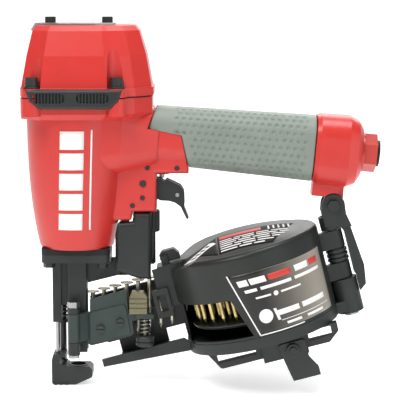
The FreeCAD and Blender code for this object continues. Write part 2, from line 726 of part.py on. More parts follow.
def handle_group():
    outer = handle_bar(48, D.grip_end, 0)
    inner = handle_bar(40, D.grip_end + 3, D.grip_wall - 0.02)
    skin = outer.common(prism_xz(grip_region(), 60)).cut(inner)
    cast("grip_sleeve", skin, handle)
    start = float(D.grip_end) + 0.6
    end = start + float(D.end_cap_length)
    tall = float(D.end_cap_half_height)
    wide = float(D.end_cap_half_width)
    shell = oval_bar([(start, tall - 1.2, wide - 1.2), (start + 3, tall, wide),
                      (end - 10, tall + 0.4, wide + 0.2), (end - 3.5, tall - 2.5, wide - 2),
                      (end, tall - 8, wide - 7)])
    tongue_top = -tall + 4
    ax = D.grip_end + D.arm_bolt_along
    az = -D.arm_bolt_drop
    lug = prism_xz([(start + 1, tongue_top), (start + 1, -tall - 8.5),
                    (start + 18.5, -tall - 8.5), (start + 24, tongue_top)], 8.2)
    tongue = prism_xz([(float(ax) - 6.6, tongue_top), (float(ax) - 6.6, float(az)),
                       (float(ax) + 6.6, float(az)), (float(ax) + 6.6, tongue_top)],
                      D.tongue_half_width)
    half = float(D.tongue_half_width)
    eye = pin_solid(6.6, 2 * half, (ax, -half, az), SIDE)
    relief = pin_solid(D.arm_eye_radius + 0.8, 30, (ax, -15, az), SIDE)
    keep = pin_solid(D.arm_eye_radius + 0.9, 2 * half, (ax, -half, az), SIDE)
    passage = pin_solid(8.5, 60, (start - 2, 0, 0), FORWARD)
    hole = pin_solid(3.0, 30, (ax, -15, az), SIDE)
    solid = shell.fuse(lug).cut(relief.cut(keep)).fuse([tongue, eye]).cut([passage, hole])
    cast("end_cap", solid, handle)
    flange = 1.6
    seat = end + flange
    depth = D.inlet_bore
    fitting = cut(fuse(hexagon(D.hex_flats, D.hex_length, (seat, 0, 0), FORWARD),
                       rod(14.2, flange, (end, 0, 0), FORWARD),
                       rod(8.4, 14, (seat - 14, 0, 0), FORWARD)),
                  rod(depth, D.hex_length + 16, (seat - 15, 0, 0), FORWARD))
    node("inlet_fitting", fitting, handle)
    tip = seat + D.hex_length
    node("inlet_ring", ring(9.4, D.inlet_bore, D.inlet_ring_length, (tip, 0, 0), FORWARD), handle)


# ---------------------------------------------------------------- nose and work contact

slope = sine(D.mag_tilt) / cosine(D.mag_tilt)
head_level = D.mag_z + D.head_line / cosine(D.mag_tilt) - D.mag_x * slope
link_y = D.nose_post_half + 5.8
link_level = nose_flange_foot - D.contact_travel - D.link_radius - 1.0
guide_foot = D.nose_post_foot + 22.0
knuckle_foot = D.nose_post_foot + 0.6
knuckle_top = knuckle_foot + 35.0
magazine = Frame(D.mag_x, D.mag_z, -D.mag_tilt)
tray_radius = D.can_radius - D.can_wall - D.tray_gap
column_x = D.can_radius + D.column_gap
arm_bolt_x, arm_bolt_z = handle.main(D.grip_end + D.arm_bolt_along, -D.arm_bolt_drop)


def nose_group():
    length = D.nose_half_length
    width = D.nose_half_width
    half = D.nose_post_half
    corners = {index: 6 for index in range(4)}
    shape = rectangle((-length, -width), (length, width))
    gasket = slab(shape, D.nose_gasket, nose_flange_top, corners)
    node("nose_gasket", cut(gasket, rod(D.blade_radius + 1.5, 20, (0, 0, nose_flange_top - 5))))
    flange = slab(shape, D.nose_flange, nose_flange_foot, corners)
    post = slab(rectangle((-half, -half), (half, half)), nose_flange_foot - D.nose_post_foot,
                D.nose_post_foot, {index: 1.5 for index in range(4)})
    rib = plate([(half - 1, nose_flange_foot - 16), (half + 4, nose_flange_foot - 16),
                 (length, nose_flange_foot - 4), (length, nose_flange_foot),
                 (half - 1, nose_flange_foot)], 4)
    web_foot = nose_flange_foot - 19
    web = plate([(half - 1, web_foot), (30, web_foot + 6), (30, nose_flange_foot),
                 (half - 1, nose_flange_foot)], 2.6, half - 1.3)
    hinge = -D.door_hinge_y
    lower = fuse(rod(D.door_knuckle_radius, 9.2, (-D.door_hinge_x, hinge, knuckle_foot)),
                 box((-D.door_hinge_x - 3, hinge, knuckle_foot),
                     (-D.door_hinge_x + 3, -half + 1, knuckle_foot + 9.2)))
    upper = fuse(rod(D.door_knuckle_radius, 4.4, (-D.door_hinge_x, hinge, knuckle_top - 4.6)),
                 box((-D.door_hinge_x - 3, hinge, knuckle_top - 4.6),
                     (-D.door_hinge_x + 3, -half + 1, knuckle_top - 0.2)))
    guide = box((-half - 9, link_y - 4.5, link_level - 15), (-half + 2, link_y + 4.5, link_level - 9))
    tie = box((-half, half - 1, link_level - 15), (-half + 6, link_y + 4.5, link_level - 9))
    pin_hole = rod(D.door_hinge_radius + D.running_fit, 60,
                   (-D.door_hinge_x, hinge, knuckle_foot - 5))
    link_hole = rod(D.link_radius + 0.35, 40, (-half - 4.8, link_y, link_level - 30))
    channel = rod(D.channel_radius, 90, (0, 0, D.nose_post_foot - 5))
    mouth = box((0, -D.channel_radius, D.nose_post_foot - 5),
                (half + 5, D.channel_radius, head_level + D.nail_head_thick + 2.5))
    node("nose_body", cut(fuse(flange, post, rib, web, lower, upper, guide, tie),
                          pin_hole, link_hole, channel, mouth))
    bolts = []
    for x, y in grid((-length + 5.5, length - 5.5), (-width + 5.5, width - 5.5)):
        bolts.append(fuse(hexagon(7.5, 3.6, (x, y, nose_flange_foot - 3.6)),
                          rod(4.4, 0.8, (x, y, nose_flange_foot - 0.8))))
    node("nose_bolts", bolts)
    rx = -D.rod_x
    bar = plate([(rx - 3.1, guide_foot), (rx + 3.1, guide_foot), (rx + 3.1, nose_flange_foot),
                 (rx - 3.1, nose_flange_foot)], 9.6)
    bridge = box((rx, -3, nose_flange_foot - 34), (-half, 3, nose_flange_foot))
    node("rod_guide", cut(fuse(bar, bridge), rod(D.rod_radius + 0.3, 60, (rx, 0, guide_foot - 5))))


def contact_group():
    half = D.nose_post_half
    rx = -D.rod_x
    tall = D.foot_height
    lip = tall - D.contact_travel
    main = plate([(-19, 0), (-1.4, 0), (10.6, 5.6), (10.6, lip - 2), (8.4, lip),
                  (-half - 1, lip), (-half - 1.6, tall), (rx - 3, tall), (-19, tall - 4)],
                 2 * half + 3, 0, {0: 2, 2: 1.5, 8: 3})
    lug = box((-half - 9, half, 3), (-half - 0.6, link_y + 4.5, 12))
    boss = rod(7.4, lip + 0.4 - 5, (0, 0, 5))
    tools = [rod(D.channel_radius + 0.4, 60, (0, 0, -10)),
             rod(2.9, 60, (rx + 4.1, -30, tall - 5), SIDE),
             rod(D.rod_radius, 60, (rx, 0, 6)),
             rod(D.link_radius, 60, (-half - 4.8, link_y, 5))]
    pads = [box((x, -half - 2.4, 0), (x + 2.2, half + 2.4, 1.2)) for x in (-17.4, -13.4, -9.4)]
    node("contact_foot", cut(fuse(main, lug, boss, *pads), *tools))
    node("contact_rod", turned([(0, 0), (D.rod_radius, 0), (D.rod_radius, 70), (0, 70.8)],
                               (rx, 0, 6)))
    low = 5
    lx = -half - 4.8
    tip = D.trigger_pivot_z - 14.9
    radius = float(D.link_radius)
    step = D.link_x - 14.8
    crossing = link_level + 9.6
    route = [vec(lx, link_y, low), vec(lx, link_y, link_level), vec(step, link_y, link_level),
             vec(D.link_x, link_y, crossing), vec(D.link_x, 0, crossing),
             vec(D.link_x, 0, tip - 8)]
    body = bent_rod(route, radius, 2.6 * radius)
    neck = Part.makeCone(radius, radius - 0.8, 8, vec(D.link_x, 0, tip - 8))
    collar = pin_solid(D.link_radius + 2.6, 2.4, (lx, link_y, link_level - 37.4))
    cast("contact_link", body.fuse([neck, collar]))
    node("contact_spring", spring(4.0, 0.7, 20.0, 6, (lx, link_y, link_level - 35)))
    wheel_foot = D.block_floor - 0.3 - D.wheel_height
    hole = D.link_radius + D.running_fit
    wheel = turned([(hole, 0), (D.wheel_radius - 0.8, 0), (D.wheel_radius, 0.8),
                    (D.wheel_radius, D.wheel_height - 0.8),
                    (D.wheel_radius - 0.8, D.wheel_height), (hole, D.wheel_height)],
                   (D.link_x, 0, wheel_foot))
    flutes = []
    for step in range(16):
        angle = step * 22.5
        x = D.link_x + D.wheel_radius * cosine(angle)
        y = D.wheel_radius * sine(angle)
        flutes.append(rod(0.62, D.wheel_height - 4, (x, y, wheel_foot + 2)))
    node("depth_wheel", cut(wheel, *flutes))
    shroud()


def bent_rod(points, radius, bend):
    """A round rod along straight runs joined by arcs."""
    edges = []
    start = points[0]
    for before, corner, after in zip(points, points[1:], points[2:]):
        toward = (before - corner).normalize()
        away = (after - corner).normalize()
        first = corner + toward * bend
        last = corner + away * bend
        bisector = toward + away
        share = bisector.Length / 2
        centre = corner + bisector.normalize() * (bend / share)
        radius_here = bend * math.sqrt(1 - share * share) / share
        middle = centre + (corner - centre).normalize() * radius_here
        edges.append(Part.makeLine(start, first))
        edges.append(Part.Arc(first, middle, last).toShape())
        start = last
    edges.append(Part.makeLine(start, points[-1]))
    axis = points[1] - points[0]
    profile = Part.Wire(Part.makeCircle(radius, points[0], axis))
    return Part.Wire(edges).makePipeShell([profile], True, True)


def shroud():
    """Side cover over the contact link, open at its right for the depth wheel."""
    half = float(D.shroud_half_width)
    floor = float(D.block_floor)
    right = float(D.link_x) - 0.4
    points = [(28, floor - 8), (40.5, floor - 7), (41.5, floor - 0.6), (right, floor - 0.6),
              (right, floor - 50), (46, floor - 50), (28, floor - 44)]
    outer = prism_xz(points, half)
    outer = rounded_edges(outer, 4.0, lambda edge: abs(edge.CenterOfMass.y + half) < 0.01)
    inner = prism_xz([(24, floor - 11), (38, floor - 10), (39, floor - 3.4), (right + 5, floor - 3.4),
                      (right + 5, floor - 60), (24, floor - 60)], half - 2.4)
    far_side = Part.makeBox(60, 20, 90, Vector(20, half - 4.0, floor - 80))
    wheel = pin_solid(D.wheel_radius + 0.9, 90, (D.link_x, 0, floor - 70))
    barrel = Part.makeCone(float(D.barrel_foot_radius) + 0.6, float(D.barrel_radius) + 2, 36,
                           vec(0, 0, D.housing_bottom - 0.6))
    barrel_low = pin_solid(D.barrel_foot_radius + 0.6, 40, (0, 0, D.housing_bottom - 40))
    cast("side_shroud", outer.cut([inner, far_side, wheel, barrel, barrel_low]))


# ---------------------------------------------------------------- feed and door

def nail_solid():
    """A roofing nail with the top of its head at the origin, pointing down."""
    radius = float(D.nail_radius)
    head = float(D.nail_head_radius)
    thick = float(D.nail_head_thick)
    length = float(D.nail_length)
    points = [(0, 0), (head, -0.3), (head, -thick + 0.2), (radius + 0.7, -thick - 0.2),
              (radius, -thick - 1.2), (radius, 4 - length), (0, -length)]
    corners = [Vector(r, 0, z) for r, z in points]
    return Part.Face(Part.makePolygon(corners + corners[:1])).revolve(Vector(), UP, 360)


def track_nails():
    """Nails on the straight track, upright and each one a step higher."""
    nail = nail_solid()
    nails = []
    count = 8
    for index in range(count):
        x = 11.0 + index * float(D.track_pitch)
        copy = nail.copy()
        copy.translate(Vector(x, 0, float(head_level) + x * float(slope)))
        nails.append(copy)
    return Part.makeCompound(nails)


def nail_coil():
    """Nails side by side along a spiral, from the outer turn inwards."""
    nail = nail_solid()
    outer = float(tray_radius) - float(D.nail_head_radius) - 0.3
    pitch = float(D.coil_pitch)
    radius = outer
    angle = math.pi
    nails = []
    while radius > 16:
        copy = nail.copy()
        copy.translate(Vector(radius * math.cos(angle), radius * math.sin(angle),
                              float(D.head_line)))
        nails.append(copy)
        step = pitch / radius
        angle += step
        radius -= pitch * step / (2 * math.pi)
    return Part.makeCompound(nails)


def feed_group():
    cast("track_nails", track_nails())
    side = D.feed_side
    bore = D.feed_radius
    level = 38.0
    start = -92.0
    travel = D.track_pitch
    barrel = fuse(rod(bore + 2.2, 36, (start - 2, side, level), FORWARD),
                  box((start + 4, 10.6, level - 6), (start + 28, side, level + 6)))
    node("feed_cylinder", cut(barrel, rod(bore, 40, (start, side, level), FORWARD),
                              rod(2.55, 20, (start - 10, side, level), FORWARD)), magazine)
    node("feed_cylinder_cap", rod(bore + 1.6, 2.2, (start + 34, side, level), FORWARD), magazine)
    cup = cut(rod(bore - D.running_fit, 16, (start + 1, side, level), FORWARD),
              rod(5.2, 13, (start + 5, side, level), FORWARD))
    node("feed_piston", fuse(cup, rod(2.5, 26, (start - 24, side, level), FORWARD)), magazine)
    node("feed_spring", spring(4.3, 0.6, 28.5 - travel, 5, (start + 5.5 + travel, side, level),
                               FORWARD), magazine)
    block = box((start - 30, 11, level - 5), (start - 20, side + 3.5, level + 5))
    fingers = [box((start - 29.4 + step, 2.2, level - 4), (start - 26.4 + step, 12, level + 4))
               for step in (0.0, 6.0)]
    node("feed_pawl", cut(fuse(block, *fingers), rod(2.5, 12, (start - 24, side, level), FORWARD)),
         magazine)


def door_group():
    hinge_x = -D.door_hinge_x
    hinge_y = -D.door_hinge_y
    low = knuckle_foot + 9.5
    high = knuckle_top - 4.9
    inner = -D.nose_post_half - 0.8
    face = inner - D.door_thick
    outline_points = [(5.8, low + 1), (9.4, low - 4.5), (41.8, low + 3.4), (40.2, low + 14),
                      (56, low + 16.6), (56, low + 19.8), (37.6, low + 19.8),
                      (36, low + 37), (9.5, low + 30), (9.5, high), (5.8, high)]
    panel = plate(outline_points, D.door_thick, (inner + face) / 2, {1: 3, 2: 4})
    border = plate([(9.8, low - 2.4), (39, low + 4.6), (35.4, low + 27), (9.8, low + 20.5)], 1.6,
                   face - 0.5, {0: 2, 1: 2, 2: 3, 3: 2})
    shelf = box((43, face - 5, low + 16.6), (56, inner, low + 19.8))
    lug = slab([(hinge_x, hinge_y - D.door_knuckle_radius), (9, face), (9, inner),
                (hinge_x, hinge_y + D.door_knuckle_radius)], high - low, low)
    tube = rod(D.door_knuckle_radius, high - low, (hinge_x, hinge_y, low))
    axis_y = face - 0.8
    door = cut(fuse(panel, border, shelf, lug, tube),
               rod(D.door_hinge_radius + D.running_fit, 60, (hinge_x, hinge_y, low - 10)),
               rod(1.8, 12, (49.5, axis_y, low + 12)))
    node("feed_door", door)
    pin = fuse(rod(D.door_hinge_radius, knuckle_top + 2.4 - knuckle_foot + 2,
                   (hinge_x, hinge_y, knuckle_foot - 2)),
               hexagon(8.0, 4.2, (hinge_x, hinge_y, knuckle_top)),
               rod(3.9, 2, (hinge_x, hinge_y, knuckle_foot - 2.2)))
    node("door_hinge_pin", pin)
    screws = []
    for x, z in ((17.3, low + 8.5), (31.5, low + 13.5)):
        head = rod(2.9, 1.9, (x, face - 1.3 - 1.9, z), SIDE)
        screws.append(cut(head, box((x - 4, face - 3.6, z - 0.45), (x + 4, face - 2.3, z + 0.45))))
    node("door_screws", screws)
    foot = low + 20.1
    back = inner - 0.2
    block = plate([(38.4, foot), (51.2, foot), (51.2, foot + 13), (48.5, foot + 16.4),
                   (40.2, foot + 16.4), (38.4, foot + 12)], 8, back - 4.0, {3: 1.5, 4: 1.5})
    grooves = [box((36, back - 9, foot + step), (54, back - 7.1, foot + step + 1.3))
               for step in (4.0, 7.5, 11.0)]
    stem = rod(1.5, 26, (49.5, axis_y, foot - 20))
    node("door_latch", fuse(cut(block, *grooves), stem))
    node("latch_spring", spring(3.4, 0.65, 12.6, 4, (49.5, axis_y, foot - 16.1)))
    knob = turned([(1.5, 0), (6.0, 0), (6.6, 1), (6.6, 3), (5.9, 3.5), (6.6, 4), (6.6, 6.8),
                   (6.0, 7.6), (1.5, 7.6)], (49.5, axis_y, foot - 24.2))
    node("latch_knob", knob)


# ---------------------------------------------------------------- magazine

def half_space_left(shift):
    """Everything above the sloping left part of the cover's top."""
    low = float(D.can_height) - 2.5 + shift
    points = [(-90, low - 16), (-48.7, low), (-14, low + 13.5), (-14, low + 60), (-90, low + 60)]
    return prism_xz(points, 90)


def dome(radius, base, top, rise):
    """A turned can with a low dome: its rim and crown are arcs."""
    edge = 4.0
    crown = top + rise
    corners = [Vector(0, 0, base), Vector(radius, 0, base), Vector(radius, 0, top - edge),
               Vector(radius - edge, 0, top), Vector(0, 0, crown)]
    bend = Part.Arc(corners[2], Vector(radius - 0.29 * edge, 0, top - 0.29 * edge), corners[3])
    arch = Part.Arc(corners[3], Vector(0.55 * radius, 0, top + 0.72 * rise), corners[4])
    wire = Part.Wire([Part.makeLine(corners[0], corners[1]), Part.makeLine(corners[1], corners[2]),
                      bend.toShape(), arch.toShape(), Part.makeLine(corners[4], corners[0])])
    return Part.Face(wire).revolve(Vector(), UP, 360)


def canister_cover():
    radius = float(D.can_radius)
    wall = float(D.can_wall)
    top = float(D.can_height) + 3.0
    floor = float(D.can_floor)
    split = top - 5.2
    outer = dome(radius, floor + 4.3, top, 7.0).cut(half_space_left(0))
    inner = dome(radius - wall, floor, top - wall, 7.0).cut(half_space_left(-wall))
    shell = outer.cut(inner)
    back = Part.makeBox(240, 120, split - floor, Vector(-120, -1, floor))
    window = prism_xz([(-70, 27), (-52, 27), (-48, 38), (-17, 38), (-7, 10), (-60, 10), (-70, 10)], 80)
    near_window = window.common(Part.makeBox(300, 100, 200, Vector(-150, -100, -50)))
    left = Part.makeBox(30, 40, 30, Vector(-80, -40, floor + 4))
    column = float(column_x)
    clear = pin_solid(D.column_radius + 1.2, 60, (column, 0, split - 20))
    arm = Part.makeBox(30, 2.5, 29.5, Vector(-68, -11, top - 33))
    arm_top = Part.makeBox(26, 19, 2.5, Vector(-64, -11, top - 5))
    catch = Part.makeBox(12, 3.6, 21, Vector(-72, -14.6, 30)).cut(
        Part.makeBox(6, 8, 12, Vector(-69, -16, 34.5)))
    strips = prism_xz([(-74, 0), (-40, 0), (-40, 90), (-74, 90)], 20)
    ears = [Part.makeBox(5.2, 2, 7, Vector(-60, y, top - 2.7)) for y in (-6.9, 4.9)]
    axle = pin_solid(1.5, 20, (-57.5, -10, top + 2), SIDE)
    mouth = Part.makeBox(14, 13.5, 55, Vector(-60, -6.5, floor + 4))
    arm_shape = arm.fuse([arm_top, catch] + [ear.cut(axle) for ear in ears])
    arm_shape = arm_shape.cut(inner).common(strips)
    shell = shell.cut([back, near_window, left, clear, mouth]).fuse(arm_shape)
    for low, high in ((24.0, 36.0), (47.0, 60.0)):
        tube = pin_solid(D.column_radius, high - low, (column, 0, low))
        lug = Part.makeBox(16, 6.2, high - low, Vector(column - 16, -7.2, low)).cut(
            pin_solid(radius - wall, 80, (0, 0, 0)))
        shell = shell.fuse([tube, lug])
    bore = pin_solid(D.column_pin_radius + D.running_fit, 90, (column, 0, 0))
    return shell.cut(bore)


def magazine_base():
    radius = float(D.can_radius)
    wall = float(D.can_wall)
    floor = float(D.can_floor)
    top = float(D.can_height) - 2.6
    column = float(column_x)
    disc = pin_solid(radius, floor, (0, 0, 0))
    back = pin_solid(radius, top - 1, (0, 0, 1)).cut(pin_solid(radius - wall, 90, (0, 0, floor)))
    back = back.cut(half_space_left(-wall - 0.8))
    rear = back.common(Part.makeBox(200, 100, 100, Vector(-100, -0.4, 0)))
    mouth = Part.makeBox(30, 12.5, 80, Vector(-70, -6.4, floor + 4))
    rim = pin_solid(radius, 4, (0, 0, floor)).cut(pin_solid(radius - wall, 20, (0, 0, floor - 1)))
    post = pin_solid(D.post_radius, 50 - floor, (0, 0, floor))
    base_tube = pin_solid(9.5, 25.4, (column, 0, -2))
    low_lug = Part.makeBox(18, 18, floor + 3.8, Vector(column - 18, -9, 0))
    high_lug = Part.makeBox(18, 9.4, 21, Vector(column - 18, -0.4, 0))
    base_lug = low_lug.fuse(high_lug).cut(pin_solid(radius + 0.35, 80, (0, 0, floor + 4)))
    arm_plate = prism_xz([(-118.4, 24), (-114, 18), (-50, 18), (-50, 60), (-62, 60), (-66, 55),
                          (-118.4, 55)], 2.2)
    arm_plate.translate(Vector(0, 8.4, 0))
    slot = Part.makeBox(28, 9, 14, Vector(-125, 2, 31))
    rail = prism_xz([(-120, 5), (-120, 10.4), (-58, 11), (-52, 5), (-54, 1)], 1.6)
    rail.translate(Vector(0, -9.8, 0))
    strip = Part.makeBox(36, 22, 2.4, Vector(-106, -11.4, 6.4))
    drop = Part.makeBox(36, 3, 14, Vector(-106, 7.6, 6.4))
    solid = disc.fuse([rear, rim, post, base_tube, base_lug, rail, strip, drop])
    solid = solid.cut(mouth).fuse(arm_plate.cut(slot))
    near_inside = pin_solid(radius - wall, top, (0, 0, floor))
    solid = solid.cut(near_inside.cut(pin_solid(D.post_radius, 90, (0, 0, 0))))
    holes = [pin_solid(D.column_pin_radius + D.running_fit, 90, (column, 0, -10))]
    return solid.cut(holes)


def bracket_arm():
    half = 5.0
    cheek = float(D.arm_half_width)
    gap = float(D.tongue_half_width) + 0.3
    ex = float(arm_bolt_x)
    ez = float(arm_bolt_z)
    radius = float(D.arm_eye_radius)
    column = float(column_x)
    shoulder = [(column - 4, 76), (column - 4, 64), (column + 15, 60), (column + 13, 70)]
    root = [tuple(map(float, magazine.main(x, z))) for x, z in shoulder]
    neck = prism_xz([(ex - radius, ez)] + root + [(ex + radius, ez)], cheek)
    eye = pin_solid(radius, 2 * cheek, (ex, -cheek, ez), SIDE)
    band = prism_xz([(column - 3.6, 61), (column + 7, 61), (column + 8.8, 57), (column + 8.8, 26),
                     (column + 9.8, 24.5), (column + 9.8, 12), (column + 15, 16),
                     (column + 17, 30), (column + 13, 70), (column + 9, 76), (column - 4, 76)],
                    half)
    tube = pin_solid(D.column_radius, 10, (column, 0, 61))
    lower = band.fuse(tube)
    lower.Placement = Placement(vec(D.mag_x, 0, D.mag_z), Rotation(SIDE, -float(D.mag_tilt)))
    slot = prism_xz([(ex - 14, ez - 9.6), (ex + 14, ez - 9.6), (ex + 14, ez + 20),
                     (ex - 14, ez + 20)], gap)
    hole = pin_solid(3.0, 40, (ex, -20, ez), SIDE)
    solid = neck.fuse([eye, lower]).cut([slot, hole])
    drill = pin_solid(D.column_pin_radius + D.running_fit, 120, (0, 0, 0))
    drill.Placement = lower.Placement.multiply(Placement(Vector(column, 0, -20), Rotation()))
    return solid.cut(drill)


def magazine_group():
    cast("magazine_base", magazine_base(), magazine)
    cast("canister_cover", canister_cover(), magazine)
    cast("nail_coil", nail_coil(), magazine)
    cast("bracket_arm", bracket_arm())
    column = column_x
    pin = fuse(rod(D.column_pin_radius, 74.4, (column, 0, -4)), rod(5.2, 2.2, (column, 0, -4.3)))
    node("cover_hinge_pin", pin, magazine)
    seat = D.head_line - D.nail_length - 0.1
    hub = D.post_radius + 3
    tray = turned([(D.post_radius + D.running_fit, -D.tray_thick), (tray_radius - 1, -D.tray_thick),
                   (tray_radius, -1), (tray_radius, 0), (hub, 0), (hub, 16),
                   (D.post_radius + D.running_fit, 16)], (0, 0, seat))
    node("nail_tray", tray, magazine)
    half = D.arm_half_width
    bolt = fuse(rod(3.0, 2 * half + 3, (arm_bolt_x, -half - 1, arm_bolt_z), SIDE),
                hexagon(8, 2.8, (arm_bolt_x, -half - 2.8, arm_bolt_z), SIDE),
                hexagon(8, 3.2, (arm_bolt_x, half, arm_bolt_z), SIDE))
    node("bracket_bolt", bolt)
    latch = plate([(-59, 67.8), (-46, 67.8), (-46, 72), (-49, 76), (-58, 76), (-60.5, 73.5),
                   (-60.5, 70)], 9, 0, {3: 1.5, 4: 1.5})
    axle = rod(1.45, 15, (-57.5, -7.5, 71), SIDE)
    node("cover_latch", fuse(latch, axle), magazine)
    gauge_group()


def gauge_group():
    near = -30.0
    bar = D.rail_bar
    foot = -5.6 - bar
    rail = plate([(-43, 0), (-36, foot), (44, foot), (52, foot + 6.6), (52, 0)], 8, near,
                 {1: 3, 2: 3, 3: 2})
    slots = [box((left, near - 9, foot + 4.4), (right, near + 9, -1.2))
             for left, right in ((-37.0, -9.0), (30.0, 47.0))]
    node("gauge_rail", cut(rail, *slots), magazine)
    clamp = box((-5, near - 7.4, foot - 3), (28, near + 7.4, -1.6))
    node("gauge_clamp", cut(clamp, box((-9, near - 4.3, foot - 0.3), (32, near + 4.3, 5))), magazine)
    face = near - 7.5
    sheet_plate = plate([(7, foot + 8), (27, foot + 8), (27, foot - 5), (32, foot - 14),
                         (32, foot - 20), (12, foot - 20), (9.4, foot - 6)], 2.2, face - 1.1,
                        {0: 2, 1: 2, 3: 2})
    shelf = box((13, face - 2.2, foot - 20), (32, face + 20, foot - 17.8))
    node("shingle_gauge", fuse(sheet_plate, shelf), magazine)
    screw = fuse(rod(4.6, 3.0, (17, face - 5.2, foot + 2.4), SIDE),
                 hexagon(5.0, 1.6, (17, face - 6.6, foot + 2.4), SIDE))
    node("gauge_screw", screw, magazine)


# ---------------------------------------------------------------- build and export

def check_document():
    faults = [item.Label for item in doc.Objects
              if {"Invalid", "Error"} & set(item.State)]
    for item in NODES:
        if item.Shape.isNull() or not item.Shape.isValid() or not item.Shape.Solids:
            faults.append(item.Label)
    if faults:
        raise RuntimeError("failed objects: " + ", ".join(faults))


def export_nodes():
    os.makedirs("parts", exist_ok=True)
    for item in NODES:
        item.Shape.exportStep(os.path.join("parts", item.Label + ".step"))


housing_group()
drive_group()
trigger_group()
handle_group()
nose_group()
contact_group()
feed_group()
door_group()
magazine_group()
doc.recompute()
check_document()
export_nodes()
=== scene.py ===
import json
import math

import bmesh
import bpy
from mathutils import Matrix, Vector
from mathutils.bvhtree import BVHTree


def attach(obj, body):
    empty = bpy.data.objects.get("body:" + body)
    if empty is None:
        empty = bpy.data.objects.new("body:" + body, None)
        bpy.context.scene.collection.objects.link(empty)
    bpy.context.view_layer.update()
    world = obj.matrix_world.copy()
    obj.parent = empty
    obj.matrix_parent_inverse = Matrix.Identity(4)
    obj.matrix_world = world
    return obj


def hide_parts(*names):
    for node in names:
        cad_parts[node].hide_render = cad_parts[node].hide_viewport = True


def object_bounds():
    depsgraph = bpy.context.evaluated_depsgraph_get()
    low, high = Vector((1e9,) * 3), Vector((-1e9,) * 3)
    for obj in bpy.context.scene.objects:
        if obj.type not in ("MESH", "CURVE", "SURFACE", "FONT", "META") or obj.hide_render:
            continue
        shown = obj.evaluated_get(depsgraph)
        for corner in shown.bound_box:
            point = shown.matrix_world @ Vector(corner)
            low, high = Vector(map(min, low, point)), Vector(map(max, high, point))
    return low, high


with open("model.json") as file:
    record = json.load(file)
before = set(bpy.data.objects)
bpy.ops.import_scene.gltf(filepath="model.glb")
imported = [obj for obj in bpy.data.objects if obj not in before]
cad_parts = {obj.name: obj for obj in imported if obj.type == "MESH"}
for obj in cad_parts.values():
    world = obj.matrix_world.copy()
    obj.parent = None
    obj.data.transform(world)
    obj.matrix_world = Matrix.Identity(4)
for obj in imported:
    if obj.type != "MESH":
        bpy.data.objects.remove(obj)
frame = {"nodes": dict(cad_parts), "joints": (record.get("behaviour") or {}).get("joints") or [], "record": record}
cad_low, cad_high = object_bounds()

MM = 0.001
JOINTS = {joint["name"]: joint for joint in frame["joints"]}
MOUNTS = {mount["name"]: mount for mount in frame["record"]["mounts"]}

# The canister's own axes: feed direction, across, and along its axis. The cover's hinge column
# stands at COLUMN_OFFSET along the feed direction, and its hinge point COLUMN_LEVEL up.
FEED = Vector(JOINTS["feed_stroke"]["axis"])
CAN_UP = Vector(JOINTS["cover_swing"]["axis"])
ACROSS = Vector((0, 1, 0))
COLUMN_OFFSET = 65.6 * MM
COLUMN_LEVEL = 30.0 * MM
HINGE_POINT = Vector(JOINTS["cover_swing"]["pos_m"])
CAN_ORIGIN = HINGE_POINT - FEED * COLUMN_OFFSET - CAN_UP * COLUMN_LEVEL

# The handle's own axes. The hand grip's mount stands GRIP_MIDDLE_AT along it.
HANDLE = Vector(MOUNTS["air_inlet"]["axis"])
HANDLE_UP = ACROSS.cross(HANDLE) * -1
GRIP_MIDDLE = Vector(MOUNTS["hand_grip"]["pos_m"])
GRIP_MIDDLE_AT = 115.0 * MM

# Where the rays that find a surface start, clear of the tool.
NEAR_SIDE = -90.0 * MM
ABOVE_CAN = 110.0 * MM
OFF_GRIP = 60.0 * MM


def in_can(x, y, z):
    """A point in the canister's axes, in metres."""
    return CAN_ORIGIN + FEED * x + ACROSS * y + CAN_UP * z


# ---------------------------------------------------------------- materials

COAT_ROUGHNESS = 0.18
GLOSS_SCALE = 120.0
SMOOTHER, ROUGHER = 0.06, 0.08
BEVEL_SAMPLES = 4
BUMP_STRENGTH = 0.6


def new_material(name):
    mat = bpy.data.materials.new(name)
    mat.use_nodes = True
    return mat, mat.node_tree.nodes, mat.node_tree.links


def noise(nodes, links, scale, detail=3.0):
    coords = nodes.new("ShaderNodeTexCoord")
    texture = nodes.new("ShaderNodeTexNoise")
    texture.inputs["Scale"].default_value = scale
    texture.inputs["Detail"].default_value = detail
    links.new(coords.outputs["Object"], texture.inputs["Vector"])
    return texture.outputs["Fac"]


def ramp(nodes, links, factor, stops):
    """A colour ramp from (position, colour) stops."""
    node = nodes.new("ShaderNodeValToRGB")
    elements = node.color_ramp.elements
    elements[0].position, elements[0].color = stops[0][0], (*stops[0][1], 1)
    elements[1].position, elements[1].color = stops[-1][0], (*stops[-1][1], 1)
    for position, colour in stops[1:-1]:
        element = elements.new(position)
        element.color = (*colour, 1)
    links.new(factor, node.inputs["Fac"])
    return node.outputs["Color"]


def spread(nodes, links, factor, low, high):
    """Maps a factor from 0 to 1 onto low to high."""
    node = nodes.new("ShaderNodeMapRange")
    node.inputs["To Min"].default_value = low
    node.inputs["To Max"].default_value = high
    links.new(factor, node.inputs["Value"])
    return node.outputs["Result"]


def shaded(colour, amount):
    return tuple(max(0.0, channel * amount) for channel in colour)


